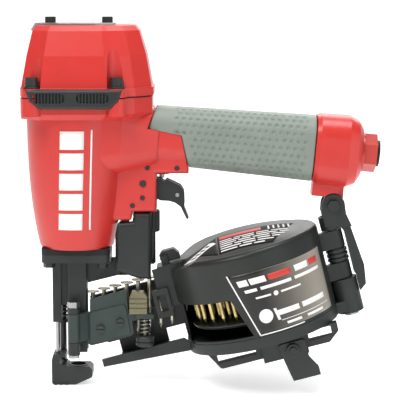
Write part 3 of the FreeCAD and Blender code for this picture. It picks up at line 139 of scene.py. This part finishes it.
def surface(name, colour, rough, metal=0.0, grain=900.0, depth=0.05, mottle=0.12,
            mottle_scale=45.0, coat=0.0, edge=0.45, sheen=0.5):
    """A painted, cast, moulded or machined finish: mottled colour, uneven gloss, fine grain.

    grain is the scale of the fine grain and depth its height in millimetres; edge is the radius
    in millimetres that rounds sharp edges.
    """
    mat, nodes, links = new_material(name)
    shader = nodes["Principled BSDF"]
    shader.inputs["Metallic"].default_value = metal
    shader.inputs["Specular IOR Level"].default_value = sheen
    shader.inputs["Coat Weight"].default_value = coat
    shader.inputs["Coat Roughness"].default_value = COAT_ROUGHNESS
    cloud = noise(nodes, links, mottle_scale, detail=5.0)
    tint = ramp(nodes, links, cloud, [(0.3, shaded(colour, 1 - mottle)),
                                      (0.7, shaded(colour, 1 + mottle))])
    links.new(tint, shader.inputs["Base Color"])
    patches = noise(nodes, links, GLOSS_SCALE, detail=4.0)
    gloss = spread(nodes, links, patches, rough - SMOOTHER, rough + ROUGHER)
    links.new(gloss, shader.inputs["Roughness"])
    bevel = nodes.new("ShaderNodeBevel")
    bevel.samples = BEVEL_SAMPLES
    bevel.inputs["Radius"].default_value = edge * MM
    bump = nodes.new("ShaderNodeBump")
    bump.inputs["Strength"].default_value = BUMP_STRENGTH
    bump.inputs["Distance"].default_value = depth * MM
    links.new(noise(nodes, links, grain), bump.inputs["Height"])
    links.new(bevel.outputs["Normal"], bump.inputs["Normal"])
    links.new(bump.outputs["Normal"], shader.inputs["Normal"])
    return mat


RED = surface("red_paint", (0.56, 0.026, 0.020), 0.36, grain=650, depth=0.05, mottle=0.04,
              coat=0.12, edge=0.8)
RED_FITTING = surface("red_fitting", (0.50, 0.040, 0.030), 0.32, metal=0.2, grain=1400,
                      depth=0.03, mottle=0.08, coat=0.2)
BLACK_CAST = surface("black_cast", (0.017, 0.022, 0.020), 0.44, grain=1500, depth=0.12,
                     mottle=0.18, sheen=0.4)
BLACK_PLASTIC = surface("black_plastic", (0.017, 0.021, 0.020), 0.40, grain=2200, depth=0.05,
                        mottle=0.15, edge=0.6, sheen=0.4)
COVER_PLASTIC = surface("cover_plastic", (0.020, 0.023, 0.021), 0.36, grain=1600, depth=0.035,
                        mottle=0.12, coat=0.05, edge=0.7, sheen=0.28)
BLACK_STEEL = surface("black_steel", (0.020, 0.023, 0.022), 0.40, metal=0.1, grain=1200,
                      depth=0.05, mottle=0.15, sheen=0.45)
STEEL = surface("ground_steel", (0.36, 0.37, 0.37), 0.30, metal=1.0, grain=2600, depth=0.03,
                mottle=0.12)
SPRING = surface("spring_wire", (0.24, 0.24, 0.24), 0.30, metal=1.0, grain=3000, depth=0.02,
                 mottle=0.15)
DOOR = surface("door_phosphate", (0.030, 0.046, 0.042), 0.42, metal=0.1, grain=1700,
               depth=0.06, mottle=0.15, sheen=0.4)
DOOR_SCREW = surface("dark_screw", (0.035, 0.042, 0.040), 0.36, metal=0.4, grain=1700, depth=0.05,
                     mottle=0.15)
LATCH = surface("olive_zinc", (0.19, 0.175, 0.105), 0.34, metal=0.7, grain=1500, depth=0.05,
                mottle=0.2)
KNOB = surface("knob_plastic", (0.020, 0.024, 0.023), 0.42, grain=1900, depth=0.06, mottle=0.15,
               sheen=0.4)
NAIL = surface("yellow_zinc", (0.60, 0.48, 0.20), 0.30, metal=0.85, grain=2400, depth=0.04,
               mottle=0.3, mottle_scale=160.0)
TRACK_NAIL = surface("pale_zinc", (0.55, 0.52, 0.42), 0.32, metal=0.85, grain=2400, depth=0.04,
                     mottle=0.25, mottle_scale=160.0)
ALUMINIUM = surface("machined_aluminium", (0.50, 0.51, 0.52), 0.34, metal=1.0, grain=2400,
                    depth=0.03, mottle=0.1)
SEAL = surface("seal_rubber", (0.014, 0.014, 0.014), 0.62, grain=1300, depth=0.08, mottle=0.2,
               sheen=0.3)
VALVE = surface("acetal", (0.60, 0.58, 0.52), 0.32, grain=1200, depth=0.03, mottle=0.06)
GRIP = surface("grip_rubber", (0.205, 0.240, 0.208), 0.50, grain=1500, depth=0.09, mottle=0.07,
               edge=0.15)
WHITE_INK = surface("white_ink", (0.82, 0.82, 0.80), 0.45, grain=900, depth=0.02, mottle=0.03,
                    edge=0.1)
RED_INK = surface("red_ink", (0.55, 0.035, 0.025), 0.45, grain=900, depth=0.02, mottle=0.05,
                  edge=0.1)
DARK_INK = surface("dark_ink", (0.008, 0.008, 0.008), 0.62, grain=900, depth=0.02, mottle=0.1,
                   edge=0.1, sheen=0.15)

SLOT_LOOKS = {
    "red_paint": RED, "fitting": RED_FITTING, "grip_rubber": GRIP, "black_cast": BLACK_CAST,
    "black_plastic": BLACK_PLASTIC, "trigger_plastic": BLACK_PLASTIC, "black_steel": BLACK_STEEL,
    "steel": STEEL, "spring_steel": SPRING, "door_plate": DOOR, "latch_metal": LATCH,
    "knob": KNOB, "nail_brass": NAIL, "aluminium_parts": ALUMINIUM, "seals": SEAL,
    "valve_plastic": VALVE,
}
# Nodes that look different from the rest of their slot.
NODE_LOOKS = {"canister_cover": COVER_PLASTIC, "exhaust_deflector": ALUMINIUM,
              "door_screws": DOOR_SCREW, "track_nails": TRACK_NAIL,
              "trigger_pin": BLACK_STEEL, "lever_pin": STEEL}
NODE_SLOT = {part["node"]: part["material_slot"] for part in frame["record"]["subparts"]}
for name, obj in frame["nodes"].items():
    look = NODE_LOOKS.get(name, SLOT_LOOKS[NODE_SLOT[name]])
    obj.data.materials.clear()
    obj.data.materials.append(look)


# ---------------------------------------------------------------- piece helpers

def add_piece(name, verts, faces, look, body, smooth=True):
    """A mesh that rides with a body."""
    mesh = bpy.data.meshes.new(name)
    mesh.from_pydata([tuple(vert) for vert in verts], [], faces)
    work = bmesh.new()
    work.from_mesh(mesh)
    bmesh.ops.recalc_face_normals(work, faces=work.faces)
    work.to_mesh(mesh)
    work.free()
    mesh.polygons.foreach_set("use_smooth", [smooth] * len(mesh.polygons))
    mesh.materials.append(look)
    obj = bpy.data.objects.new(name, mesh)
    bpy.context.collection.objects.link(obj)
    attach(obj, body)
    return obj


def node_tree(node):
    """A node's surface, to drop points on."""
    obj = frame["nodes"][node]
    corners = [vert.co.copy() for vert in obj.data.vertices]
    return BVHTree.FromPolygons(corners, [tuple(face.vertices) for face in obj.data.polygons])


def sheet_piece(name, top, columns, rows, sink, look, body):
    """Closes a grid of points into a thin sheet; sink leads from its top to its underside."""
    count = len(top)
    verts = top + [point + sink for point in top]
    width = columns + 1
    faces = []
    for row in range(rows):
        for column in range(columns):
            a = row * width + column
            quad = (a, a + 1, a + width + 1, a + width)
            faces.append(quad)
            faces.append(tuple(index + count for index in reversed(quad)))
    rim = list(range(width))
    rim += [row * width + columns for row in range(1, rows + 1)]
    rim += [rows * width + column for column in range(columns - 1, -1, -1)]
    rim += [row * width for row in range(rows - 1, 0, -1)]
    for a, b in zip(rim, rim[1:] + rim[:1]):
        faces.append((a, b, b + count, a + count))
    return add_piece(name, verts, faces, look, body)


# ---------------------------------------------------------------- grip

DIMPLE_PITCH = 5.1 * MM
DIMPLE_RADIUS = 1.5 * MM
DIMPLE_DEPTH = 1.15 * MM
DIMPLE_ROWS = 28
# Eleven pitches over all the rows, so that the stagger closes on itself round the grip.
ROW_SHIFT = DIMPLE_PITCH * 11 / DIMPLE_ROWS
# Height across the handle and where the sleeve starts along it there, in millimetres.
SLEEVE_START = [(40.0, 61.3), (5.2, 52.1), (2.5, 76.4), (-21.7, 83.6), (-40.0, 86.5)]


def handle_point(x, y, z):
    """A point in the handle's axes: along it, across, and up."""
    return GRIP_MIDDLE + HANDLE * (x - GRIP_MIDDLE_AT) + ACROSS * y + HANDLE_UP * z


def grip_section(tree, x):
    """Half height and half width of the grip sleeve at a distance along the handle."""
    top = tree.ray_cast(handle_point(x, 0, OFF_GRIP), -HANDLE_UP)[0]
    side = tree.ray_cast(handle_point(x, -OFF_GRIP, 0), ACROSS)[0]
    return (top - handle_point(x, 0, 0)).dot(HANDLE_UP), -side.y


def oval_point(half_height, half_width, share):
    """Position and normal on a rounded rectangle, by share of its outline from the near side."""
    radius = 0.72 * half_width
    flat_y, flat_z = half_width - radius, half_height - radius
    arc = radius * math.pi / 2
    runs = [(flat_z, None), (arc, (1, 0)), (2 * flat_y, None), (arc, (1, 1)), (2 * flat_z, None),
            (arc, (1, 2)), (2 * flat_y, None), (arc, (1, 3)), (flat_z, None)]
    corners = [(-1, 1), (1, 1), (1, -1), (-1, -1)]
    left = share * sum(length for length, _ in runs)
    index = 0
    while index < len(runs) - 1 and left > runs[index][0]:
        left -= runs[index][0]
        index += 1
    if index % 2:
        sign_y, sign_z = corners[index // 2]
        start = math.pi - (index // 2) * math.pi / 2
        angle = start - left / radius
        normal = (math.cos(angle), math.sin(angle))
        place = (sign_y * flat_y + radius * normal[0], sign_z * flat_z + radius * normal[1])
        return place, normal
    if index == 0:
        return (-half_width, left), (-1, 0)
    if index == 2:
        return (-flat_y + left, half_height), (0, 1)
    if index == 4:
        return (half_width, flat_z - left), (1, 0)
    if index == 6:
        return (flat_y - left, -half_height), (0, -1)
    return (-half_width, -flat_z + left), (-1, 0)


def grip_left_edge(z):
    """Where the sleeve starts along the handle, at a height across it."""
    z /= MM
    for (z1, x1), (z2, x2) in zip(SLEEVE_START, SLEEVE_START[1:]):
        if z >= z2:
            return (x1 + (x2 - x1) * (z1 - z) / (z1 - z2)) * MM
    return SLEEVE_START[-1][1] * MM


def dimple(x, around, row_pitch):
    """Depth of the staggered dimples at a place on the grip, from 0 to 1."""
    deepest = 0.0
    nearest = round(around / row_pitch)
    for row in (nearest - 1, nearest, nearest + 1):
        column = round((x - row * ROW_SHIFT) / DIMPLE_PITCH)
        centre = column * DIMPLE_PITCH + row * ROW_SHIFT
        gap = math.hypot(x - centre, around - row * row_pitch) / DIMPLE_RADIUS
        if gap < 1:
            deepest = max(deepest, 1 - gap * gap)
    return deepest


def grip_skin():
    """The rubber sleeve with its dimples, in place of the plain one."""
    node = frame["nodes"]["grip_sleeve"]
    tree = node_tree("grip_sleeve")
    first, last = 90.0 * MM, 168.0 * MM
    high_a, wide_a = grip_section(tree, first)
    high_b, wide_b = grip_section(tree, last)
    right = max((vert.co - handle_point(0, 0, 0)).dot(HANDLE) for vert in node.data.vertices)
    wall = 1.9 * MM
    gap = 0.15 * MM
    lip, lip_share = 0.8 * MM, 0.9
    # no dimples this close to the sleeve's ends, nor before the housing's collar
    left_margin, right_margin, dimples_from, fade_over = 4 * MM, 5.0 * MM, 70 * MM, 2 * MM
    # columns follow the slanted left edge as far as join, and stand square from there
    join, slanted, straight, rows = 87.5 * MM, 36, 126, 216
    columns = slanted + straight
    perimeter = 137.0 * MM
    row_pitch = perimeter / DIMPLE_ROWS
    verts, inner = [], []
    for row in range(rows):
        share = row / rows
        (_, z_mid), _ = oval_point(high_a, wide_a, share)
        left = grip_left_edge(z_mid) + gap
        for column in range(columns + 1):
            if column <= slanted:
                x = left + (join - left) * column / slanted
            else:
                x = join + (right - join) * (column - slanted) / straight
            mix = (x - first) / (last - first)
            high = high_a + (high_b - high_a) * mix
            wide = wide_a + (wide_b - wide_a) * mix
            (y, z), (ny, nz) = oval_point(high, wide, share)
            edge = min(x - left - left_margin, right - right_margin - x, x - dimples_from)
            fade = min(1.0, max(0.0, edge / fade_over))
            sink = DIMPLE_DEPTH * fade * dimple(x, share * perimeter, row_pitch)
            rounding = max(0.0, lip - (right - x), lip - (x - left))
            sink += lip_share * rounding * rounding / lip
            verts.append(handle_point(x, y - ny * sink, z - nz * sink))
            inner.append(handle_point(x, y - ny * wall, z - nz * wall))
    width = columns + 1
    count = rows * width
    faces = []
    for row in range(rows):
        below = ((row + 1) % rows) * width
        here = row * width
        for column in range(columns):
            quad = (here + column, here + column + 1, below + column + 1, below + column)
            faces.append(quad)
            faces.append(tuple(index + count for index in reversed(quad)))
        for column in (0, columns):
            a, b = here + column, below + column
            faces.append((a, b, b + count, a + count))
    skin = add_piece("grip_skin", verts + inner, faces, GRIP, "housing")
    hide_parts("grip_sleeve")


# ---------------------------------------------------------------- decals
# Corners of prints are in millimetres, and so are their lifts off the surface.

MARK_LIFT = 0.34
PRINT_GAP = 0.02


def quad_point(corners, s, t):
    """Bilinear place in a quad given as (low left, low right, high right, high left)."""
    (ax, ay), (bx, by), (cx, cy), (dx, dy) = corners
    low = (ax + (bx - ax) * s, ay + (by - ay) * s)
    high = (dx + (cx - dx) * s, dy + (cy - dy) * s)
    return low[0] + (high[0] - low[0]) * t, low[1] + (high[1] - low[1]) * t


def decal(name, tree, place, aim, corners, look, body, steps, lift):
    """A thin print on a surface. place turns (a, b) in metres into the start of each drop."""
    columns, rows = steps
    top = []
    for row in range(rows + 1):
        for column in range(columns + 1):
            a, b = quad_point(corners, column / columns, row / rows)
            start = place(a * MM, b * MM)
            hit = tree.ray_cast(start, aim)[0]
            if hit is None:
                raise RuntimeError(f"{name} misses its surface at {a:.1f}, {b:.1f}")
            top.append(hit - aim * lift * MM)
    return sheet_piece(name, top, columns, rows, aim * (lift - PRINT_GAP) * MM, look, body)


def inside(corners, s0, s1, t0, t1):
    """The part of a quad between two shares each way."""
    return [quad_point(corners, s0, t0), quad_point(corners, s1, t0),
            quad_point(corners, s1, t1), quad_point(corners, s0, t1)]


def label_look():
    """Black at the left, fading to warm grey."""
    mat, nodes, links = new_material("label_print")
    shader = nodes["Principled BSDF"]
    coords = nodes.new("ShaderNodeTexCoord")
    dot = nodes.new("ShaderNodeVectorMath")
    dot.operation = "DOT_PRODUCT"
    dot.inputs[1].default_value = FEED
    links.new(coords.outputs["Object"], dot.inputs[0])
    fade_from, fade_to = -8 * MM, 50 * MM
    along = spread(nodes, links, dot.outputs["Value"], 0.0, 1.0)
    along.node.inputs["From Min"].default_value = in_can(fade_from, 0, 0).dot(FEED)
    along.node.inputs["From Max"].default_value = in_can(fade_to, 0, 0).dot(FEED)
    black, brown, grey = (0.006, 0.005, 0.005), (0.09, 0.08, 0.065), (0.30, 0.275, 0.235)
    colour = ramp(nodes, links, along, [(0.25, black), (0.55, brown), (0.9, grey)])
    paper = noise(nodes, links, 300.0, detail=4.0)
    tone = spread(nodes, links, paper, 0.94, 1.06)
    mix = nodes.new("ShaderNodeMix")
    mix.data_type = "RGBA"
    mix.blend_type = "MULTIPLY"
    mix.inputs["Factor"].default_value = 1.0
    links.new(colour, mix.inputs["A"])
    links.new(tone, mix.inputs["B"])
    links.new(mix.outputs["Result"], shader.inputs["Base Color"])
    gloss = spread(nodes, links, noise(nodes, links, 90.0), 0.26, 0.36)
    links.new(gloss, shader.inputs["Roughness"])
    return mat


def side_label():
    """The label on the cover's near side: bars for its text, and a picture of a nail."""
    tree = node_tree("canister_cover")

    def place(u, w):
        return in_can(u, NEAR_SIDE, w)

    def mark(name, corners, look, steps=(6, 1), lift=MARK_LIFT):
        decal(name, tree, place, ACROSS, corners, look, "cover", steps, lift)

    area = [(-1.6, 10.2), (51.6, 10.2), (52.2, 54.6), (-14.4, 54.8)]
    mark("label_base", area, label_look(), (40, 24), 0.2)
    edge = [(-2.8, 9.0), (-1.8, 9.0), (-14.9, 55.6), (-15.9, 55.6)]
    foot = [(-2.6, 8.9), (30.0, 8.9), (30.0, 9.7), (-2.6, 9.7)]
    mark("label_edge", edge, WHITE_INK, (1, 20), 0.25)
    mark("label_foot", foot, WHITE_INK, (16, 1), 0.25)
    # three rows of bars, each bar between two shares of the label's width
    for index, (s0, s1, look) in enumerate(((0.05, 0.16, WHITE_INK), (0.18, 0.36, WHITE_INK),
                                            (0.39, 0.64, RED_INK), (0.69, 0.84, WHITE_INK),
                                            (0.86, 0.95, RED_INK))):
        mark(f"heading_{index}", inside(area, s0, s1, 0.80, 0.90), look, (8, 2))
    for index, (s0, s1) in enumerate(((0.08, 0.22), (0.26, 0.62), (0.66, 0.95))):
        mark(f"subheading_{index}", inside(area, s0, s1, 0.685, 0.735), WHITE_INK, (8, 2))
    for index, (s0, s1) in enumerate(((0.16, 0.34), (0.46, 0.70))):
        mark(f"caption_{index}", inside(area, s0, s1, 0.56, 0.59), WHITE_INK, (6, 1))
    # the nail's head end on, a small disc beside the captions, then head and shank from the side
    for name, centre_s, centre_t, radius in (("picture_head", 0.17, 0.26, 5.0),
                                             ("picture_shank", 0.40, 0.575, 1.7)):
        round_mark(name, tree, quad_point(area, centre_s, centre_t), radius)
    mark("picture_cap", inside(area, 0.290, 0.325, 0.145, 0.345), WHITE_INK, (2, 4))
    mark("picture_rod_a", inside(area, 0.325, 0.60, 0.215, 0.300), WHITE_INK, (8, 2))
    mark("picture_rod_b", inside(area, 0.64, 0.93, 0.215, 0.300), WHITE_INK, (8, 2))
    mark("measure_line", inside(area, 0.33, 0.96, 0.125, 0.135), WHITE_INK, (16, 1))
    for index, (s0, s1) in enumerate(((0.38, 0.58), (0.66, 0.88))):
        mark(f"measure_{index}", inside(area, s0, s1, 0.045, 0.085), WHITE_INK, (6, 1))


def round_mark(name, tree, centre, radius):
    """A printed disc on the cover's near side."""
    spokes, rings = 28, 3
    lift = MARK_LIFT * MM
    points = [centre]
    for ring in range(1, rings + 1):
        for spoke in range(spokes):
            angle = 2 * math.pi * spoke / spokes
            reach = radius * ring / rings
            points.append((centre[0] + reach * math.cos(angle),
                           centre[1] + reach * math.sin(angle)))
    top = []
    for u, w in points:
        hit = tree.ray_cast(in_can(u * MM, NEAR_SIDE, w * MM), ACROSS)[0]
        top.append(hit - ACROSS * lift)
    count = len(top)
    low = [point + ACROSS * (lift - PRINT_GAP * MM) for point in top]
    faces = []
    for spoke in range(spokes):
        after = (spoke + 1) % spokes
        faces.append((0, 1 + spoke, 1 + after))
        for ring in range(rings - 1):
            a, b = 1 + ring * spokes + spoke, 1 + ring * spokes + after
            faces.append((a, a + spokes, b + spokes, b))
    flipped = [tuple(index + count for index in reversed(face)) for face in faces]
    start = 1 + (rings - 1) * spokes
    rim = []
    for spoke in range(spokes):
        a, b = start + spoke, start + (spoke + 1) % spokes
        rim.append((a, b, b + count, a + count))
    add_piece(name, top + low, faces + flipped + rim, WHITE_INK, "cover")


def top_label():
    """The label on the cover's top and slope, with bars for its text."""
    tree = node_tree("canister_cover")

    def place(u, y):
        return in_can(u, y, ABOVE_CAN)

    def mark(name, corners, look, steps, lift=0.3):
        decal(name, tree, place, -CAN_UP, corners, look, "cover", steps, lift)

    flat = [(-16.5, -45), (22, -45), (40, -4), (-16.5, -4)]
    slope = [(-45.5, -23), (-17.5, -45), (-17.5, -4), (-45.5, -4)]
    mark("top_base", flat, DARK_INK, (20, 16), 0.2)
    mark("slope_base", slope, DARK_INK, (16, 16), 0.2)
    strip = [(-43.5, -25), (-35, -35), (-17.8, -22), (-23, -9)]
    mark("slope_white", strip, WHITE_INK, (10, 12))
    for index in range(4):
        low = 0.14 + 0.20 * index
        bar = inside(strip, 0.25, 0.75, low, low + 0.10)
        mark(f"slope_mark_{index}", bar, DARK_INK, (4, 2), 0.42)
    mark("title_bar", [(-15, -16), (16, -16), (16, -7), (-15, -7)], RED_INK, (14, 4))
    # rows of small bars as long as words, out to the round edge of the label
    first_row, row_step, label_radius = -20.0, 4.2, 46.0
    for index in range(6):
        level = first_row - row_step * index
        reach = math.sqrt(label_radius ** 2 - level ** 2)
        start = -15.0
        while start < reach - 9:
            stop = min(start + 9.0 + 3.0 * ((index * 5 + int(start)) % 3), reach - 4)
            word = [(start, level - 1.3), (stop, level - 1.3),
                    (stop, level + 0.3), (start, level + 0.3)]
            mark(f"note_{index}_{int(start + 60)}", word, WHITE_INK, (4, 1))
            start = stop + 1.6
    for index in range(5):
        start = 21.0 + 3.6 * index
        stop = start + 1.3
        bar = [(start, -16.0), (stop, -16.0), (stop, -6.0), (start, -6.0)]
        mark(f"side_note_{index}", bar, WHITE_INK, (1, 4))


def barrel_print():
    """Plain bars up the housing's barrel, with a thin line beside them."""
    tree = node_tree("body_housing")

    def place(x, z):
        return Vector((x, NEAR_SIDE, z))

    def mark(name, corners, look, steps, lift=0.3):
        decal(name, tree, place, ACROSS, corners, look, "housing", steps, lift)

    edge = [(10.6, 118), (11.8, 118), (14.2, 190), (13.0, 190)]
    mark("barrel_line", edge, WHITE_INK, (1, 16))
    spans = ((118, 130), (132.5, 144.5), (147, 159), (161.5, 173.5), (176, 189))
    lean_rate = 0.033
    for index, (low, high) in enumerate(spans):
        lean = lean_rate * (low - spans[0][0])
        bar = [(-11 + lean, low), (6 + lean, low), (6.4 + lean, high), (-10.6 + lean, high)]
        mark(f"barrel_bar_{index}", bar, WHITE_INK, (6, 4))


# ---------------------------------------------------------------- wires and column rings

WELD = 1e-6
WIRE_RADIUS = 0.45 * MM
WIRE_REACH = 1.75 * MM
STEPS_PER_NAIL = 4


def nail_places(node, up):
    """Each nail's place across its own axis, with the levels of its point and its head."""
    obj = frame["nodes"][node]
    work = bmesh.new()
    work.from_mesh(obj.data)
    bmesh.ops.remove_doubles(work, verts=work.verts, dist=WELD)
    work.verts.ensure_lookup_table()
    seen, places = set(), []
    for vert in work.verts:
        if vert.index in seen:
            continue
        stack, island = [vert], []
        seen.add(vert.index)
        while stack:
            here = stack.pop()
            island.append(here.co.copy())
            for edge in here.link_edges:
                other = edge.other_vert(here)
                if other.index not in seen:
                    seen.add(other.index)
                    stack.append(other)
        low = min(point.dot(up) for point in island)
        high = max(point.dot(up) for point in island)
        middle = sum(island, Vector()) / len(island)
        places.append((middle - up * middle.dot(up), low, high))
    work.free()
    return places


def tube(name, path, radius, look, body, sides=8):
    """A closed round rod along a path."""
    verts, faces = [], []
    count = len(path)
    for index, point in enumerate(path):
        before = path[index - 1] if index else path[0]
        after = path[min(index + 1, count - 1)]
        ahead = (after - before).normalized()
        up = Vector((0, 0, 1)) if abs(ahead.z) < 0.9 else Vector((1, 0, 0))
        side = ahead.cross(up).normalized()
        up = side.cross(ahead)
        for turn in range(sides):
            angle = 2 * math.pi * turn / sides
            verts.append(point + radius * (side * math.cos(angle) + up * math.sin(angle)))
    for index in range(count - 1):
        for turn in range(sides):
            a, b = index * sides + turn, index * sides + (turn + 1) % sides
            faces.append((a, b, b + sides, a + sides))
    faces.append(tuple(range(sides)))
    faces.append(tuple(range((count - 1) * sides, count * sides)))
    return add_piece(name, verts, faces, look, body)


def chained(places, first):
    """The nails in order along the strip, each the nearest to the one before."""
    here = min(places, key=lambda place: (place[0] - first).length)
    rest = [place for place in places if place is not here]
    order = [here]
    while rest:
        here = min(rest, key=lambda place: (place[0] - here[0]).length)
        rest.remove(here)
        order.append(here)
    return order


def collation(node, up, first, body, levels):
    """Thin wires that weave along the shanks of the nails, at shares of their height."""
    order = chained(nail_places(node, up), first - up * first.dot(up))
    for index, level in enumerate(levels):
        path = []
        for (start, low, high), (end, _, _) in zip(order, order[1:]):
            for step in range(STEPS_PER_NAIL):
                across = start.lerp(end, step / STEPS_PER_NAIL)
                swell = WIRE_REACH * math.cos(math.pi * step / 2)
                side = (end - start).cross(up).normalized()
                path.append(across + side * swell + up * (low + (high - low) * level))
        tube(f"{node}_wire_{index}", path, WIRE_RADIUS, SPRING, body)


def column_rings():
    """Ribbed spacer round the cover's hinge pin, between the two knuckles."""
    low, high, bore, radius, rib = 36.3, 46.7, 3.4, 6.6, 7.8
    profile = [(low, bore), (low, radius)]
    for start, stop in ((37.4, 39.2), (40.6, 42.4), (43.8, 45.6)):
        profile += [(start, radius), (start, rib), (stop, rib), (stop, radius)]
    profile += [(high, radius), (high, bore)]
    sides = 40
    verts, faces = [], []
    for level, reach in profile:
        for turn in range(sides):
            angle = 2 * math.pi * turn / sides
            verts.append(in_can((COLUMN_OFFSET / MM + reach * math.cos(angle)) * MM,
                                reach * math.sin(angle) * MM, level * MM))
    for row in range(len(profile)):
        after = (row + 1) % len(profile)
        for turn in range(sides):
            a, b = row * sides + turn, row * sides + (turn + 1) % sides
            c, d = after * sides + (turn + 1) % sides, after * sides + turn
            faces.append((a, b, c, d))
    add_piece("column_rings", verts, faces, BLACK_CAST, "housing", smooth=False)


WIRE_LEVELS = (0.42, 0.60)
COIL_END = in_can(-60 * MM, 0, 40 * MM)
TRACK_END = Vector((0, 0, 50 * MM))
grip_skin()
side_label()
top_label()
barrel_print()
column_rings()
collation("nail_coil", CAN_UP, COIL_END, "tray", WIRE_LEVELS)
collation("track_nails", Vector((0, 0, 1)), TRACK_END, "housing", WIRE_LEVELS)


# ---------------------------------------------------------------- stage, light, camera

WORLD_STRENGTH = 0.26
FLOOR_GLOW = 0.55
# name, place from the tool's middle in metres, size in metres, power in watts, colour
LIGHTS = (
    ("key", (-0.50, -0.75, 0.95), 0.5, 9.5, (1, 0.99, 0.97)),
    ("fill", (0.85, -0.8, 0.25), 0.9, 2.2, (0.97, 0.98, 1)),
    ("top", (0.15, -0.15, 1.1), 0.6, 8.5, (1, 1, 1)),
    ("rim", (0.3, 0.9, 0.7), 0.8, 4.5, (1, 1, 1)),
)


def studio():
    """A pale sheet that runs up behind the tool, a white world and four soft lights."""
    world = bpy.data.worlds.new("studio")
    world.use_nodes = True
    background = world.node_tree.nodes["Background"]
    background.inputs["Color"].default_value = (1, 1, 1, 1)
    background.inputs["Strength"].default_value = WORLD_STRENGTH
    bpy.context.scene.world = world
    bpy.context.scene.view_settings.view_transform = "Standard"
    half, back = 3.0, 1.4
    level = cad_low[2] - 0.4 * MM
    profile = [(-half, level), (back, level), (back + 0.35, level + 0.1),
               (back + 0.5, level + 0.4), (back + 0.5, level + 3.0)]
    verts = [(x, y, z) for y, z in profile for x in (-half, half)]
    faces = [(2 * i, 2 * i + 1, 2 * i + 3, 2 * i + 2) for i in range(len(profile) - 1)]
    mesh = bpy.data.meshes.new("floor")
    mesh.from_pydata(verts, [], faces)
    mesh.polygons.foreach_set("use_smooth", [True] * len(faces))
    floor = bpy.data.objects.new("floor", mesh)
    bpy.context.collection.objects.link(floor)
    pale = surface("pale_floor", (0.86, 0.86, 0.86), 0.75, grain=60, depth=0.02, mottle=0.01,
                   mottle_scale=3.0)
    glow = pale.node_tree.nodes["Principled BSDF"]
    glow.inputs["Emission Color"].default_value = (1, 1, 1, 1)
    glow.inputs["Emission Strength"].default_value = FLOOR_GLOW
    floor.data.materials.append(pale)
    middle = Vector([(a + b) / 2 for a, b in zip(cad_low, cad_high)])
    for name, place, size, power, colour in LIGHTS:
        light = bpy.data.lights.new(name, "AREA")
        light.energy = power
        light.size = size
        light.color = colour
        obj = bpy.data.objects.new(name, light)
        obj.location = middle + Vector(place)
        obj.rotation_euler = (-Vector(place)).to_track_quat("-Z", "Y").to_euler()
        bpy.context.collection.objects.link(obj)


def camera():
    """From the near side, a little above, with the tool filling the frame."""
    elevation = math.radians(8.0)
    distance = 1.15
    frame_width = 291.0 * MM
    sensor = 36.0
    target = Vector((89.6 * MM, 0, 135.6 * MM))
    view = Vector((0, -math.cos(elevation), math.sin(elevation)))
    data = bpy.data.cameras.new("camera")
    data.lens = sensor * distance / frame_width
    data.clip_start = 0.01
    obj = bpy.data.objects.new("camera", data)
    obj.location = target + view * distance
    obj.rotation_euler = (-view).to_track_quat("-Z", "Y").to_euler()
    bpy.context.collection.objects.link(obj)
    bpy.context.scene.camera = obj


studio()
camera()
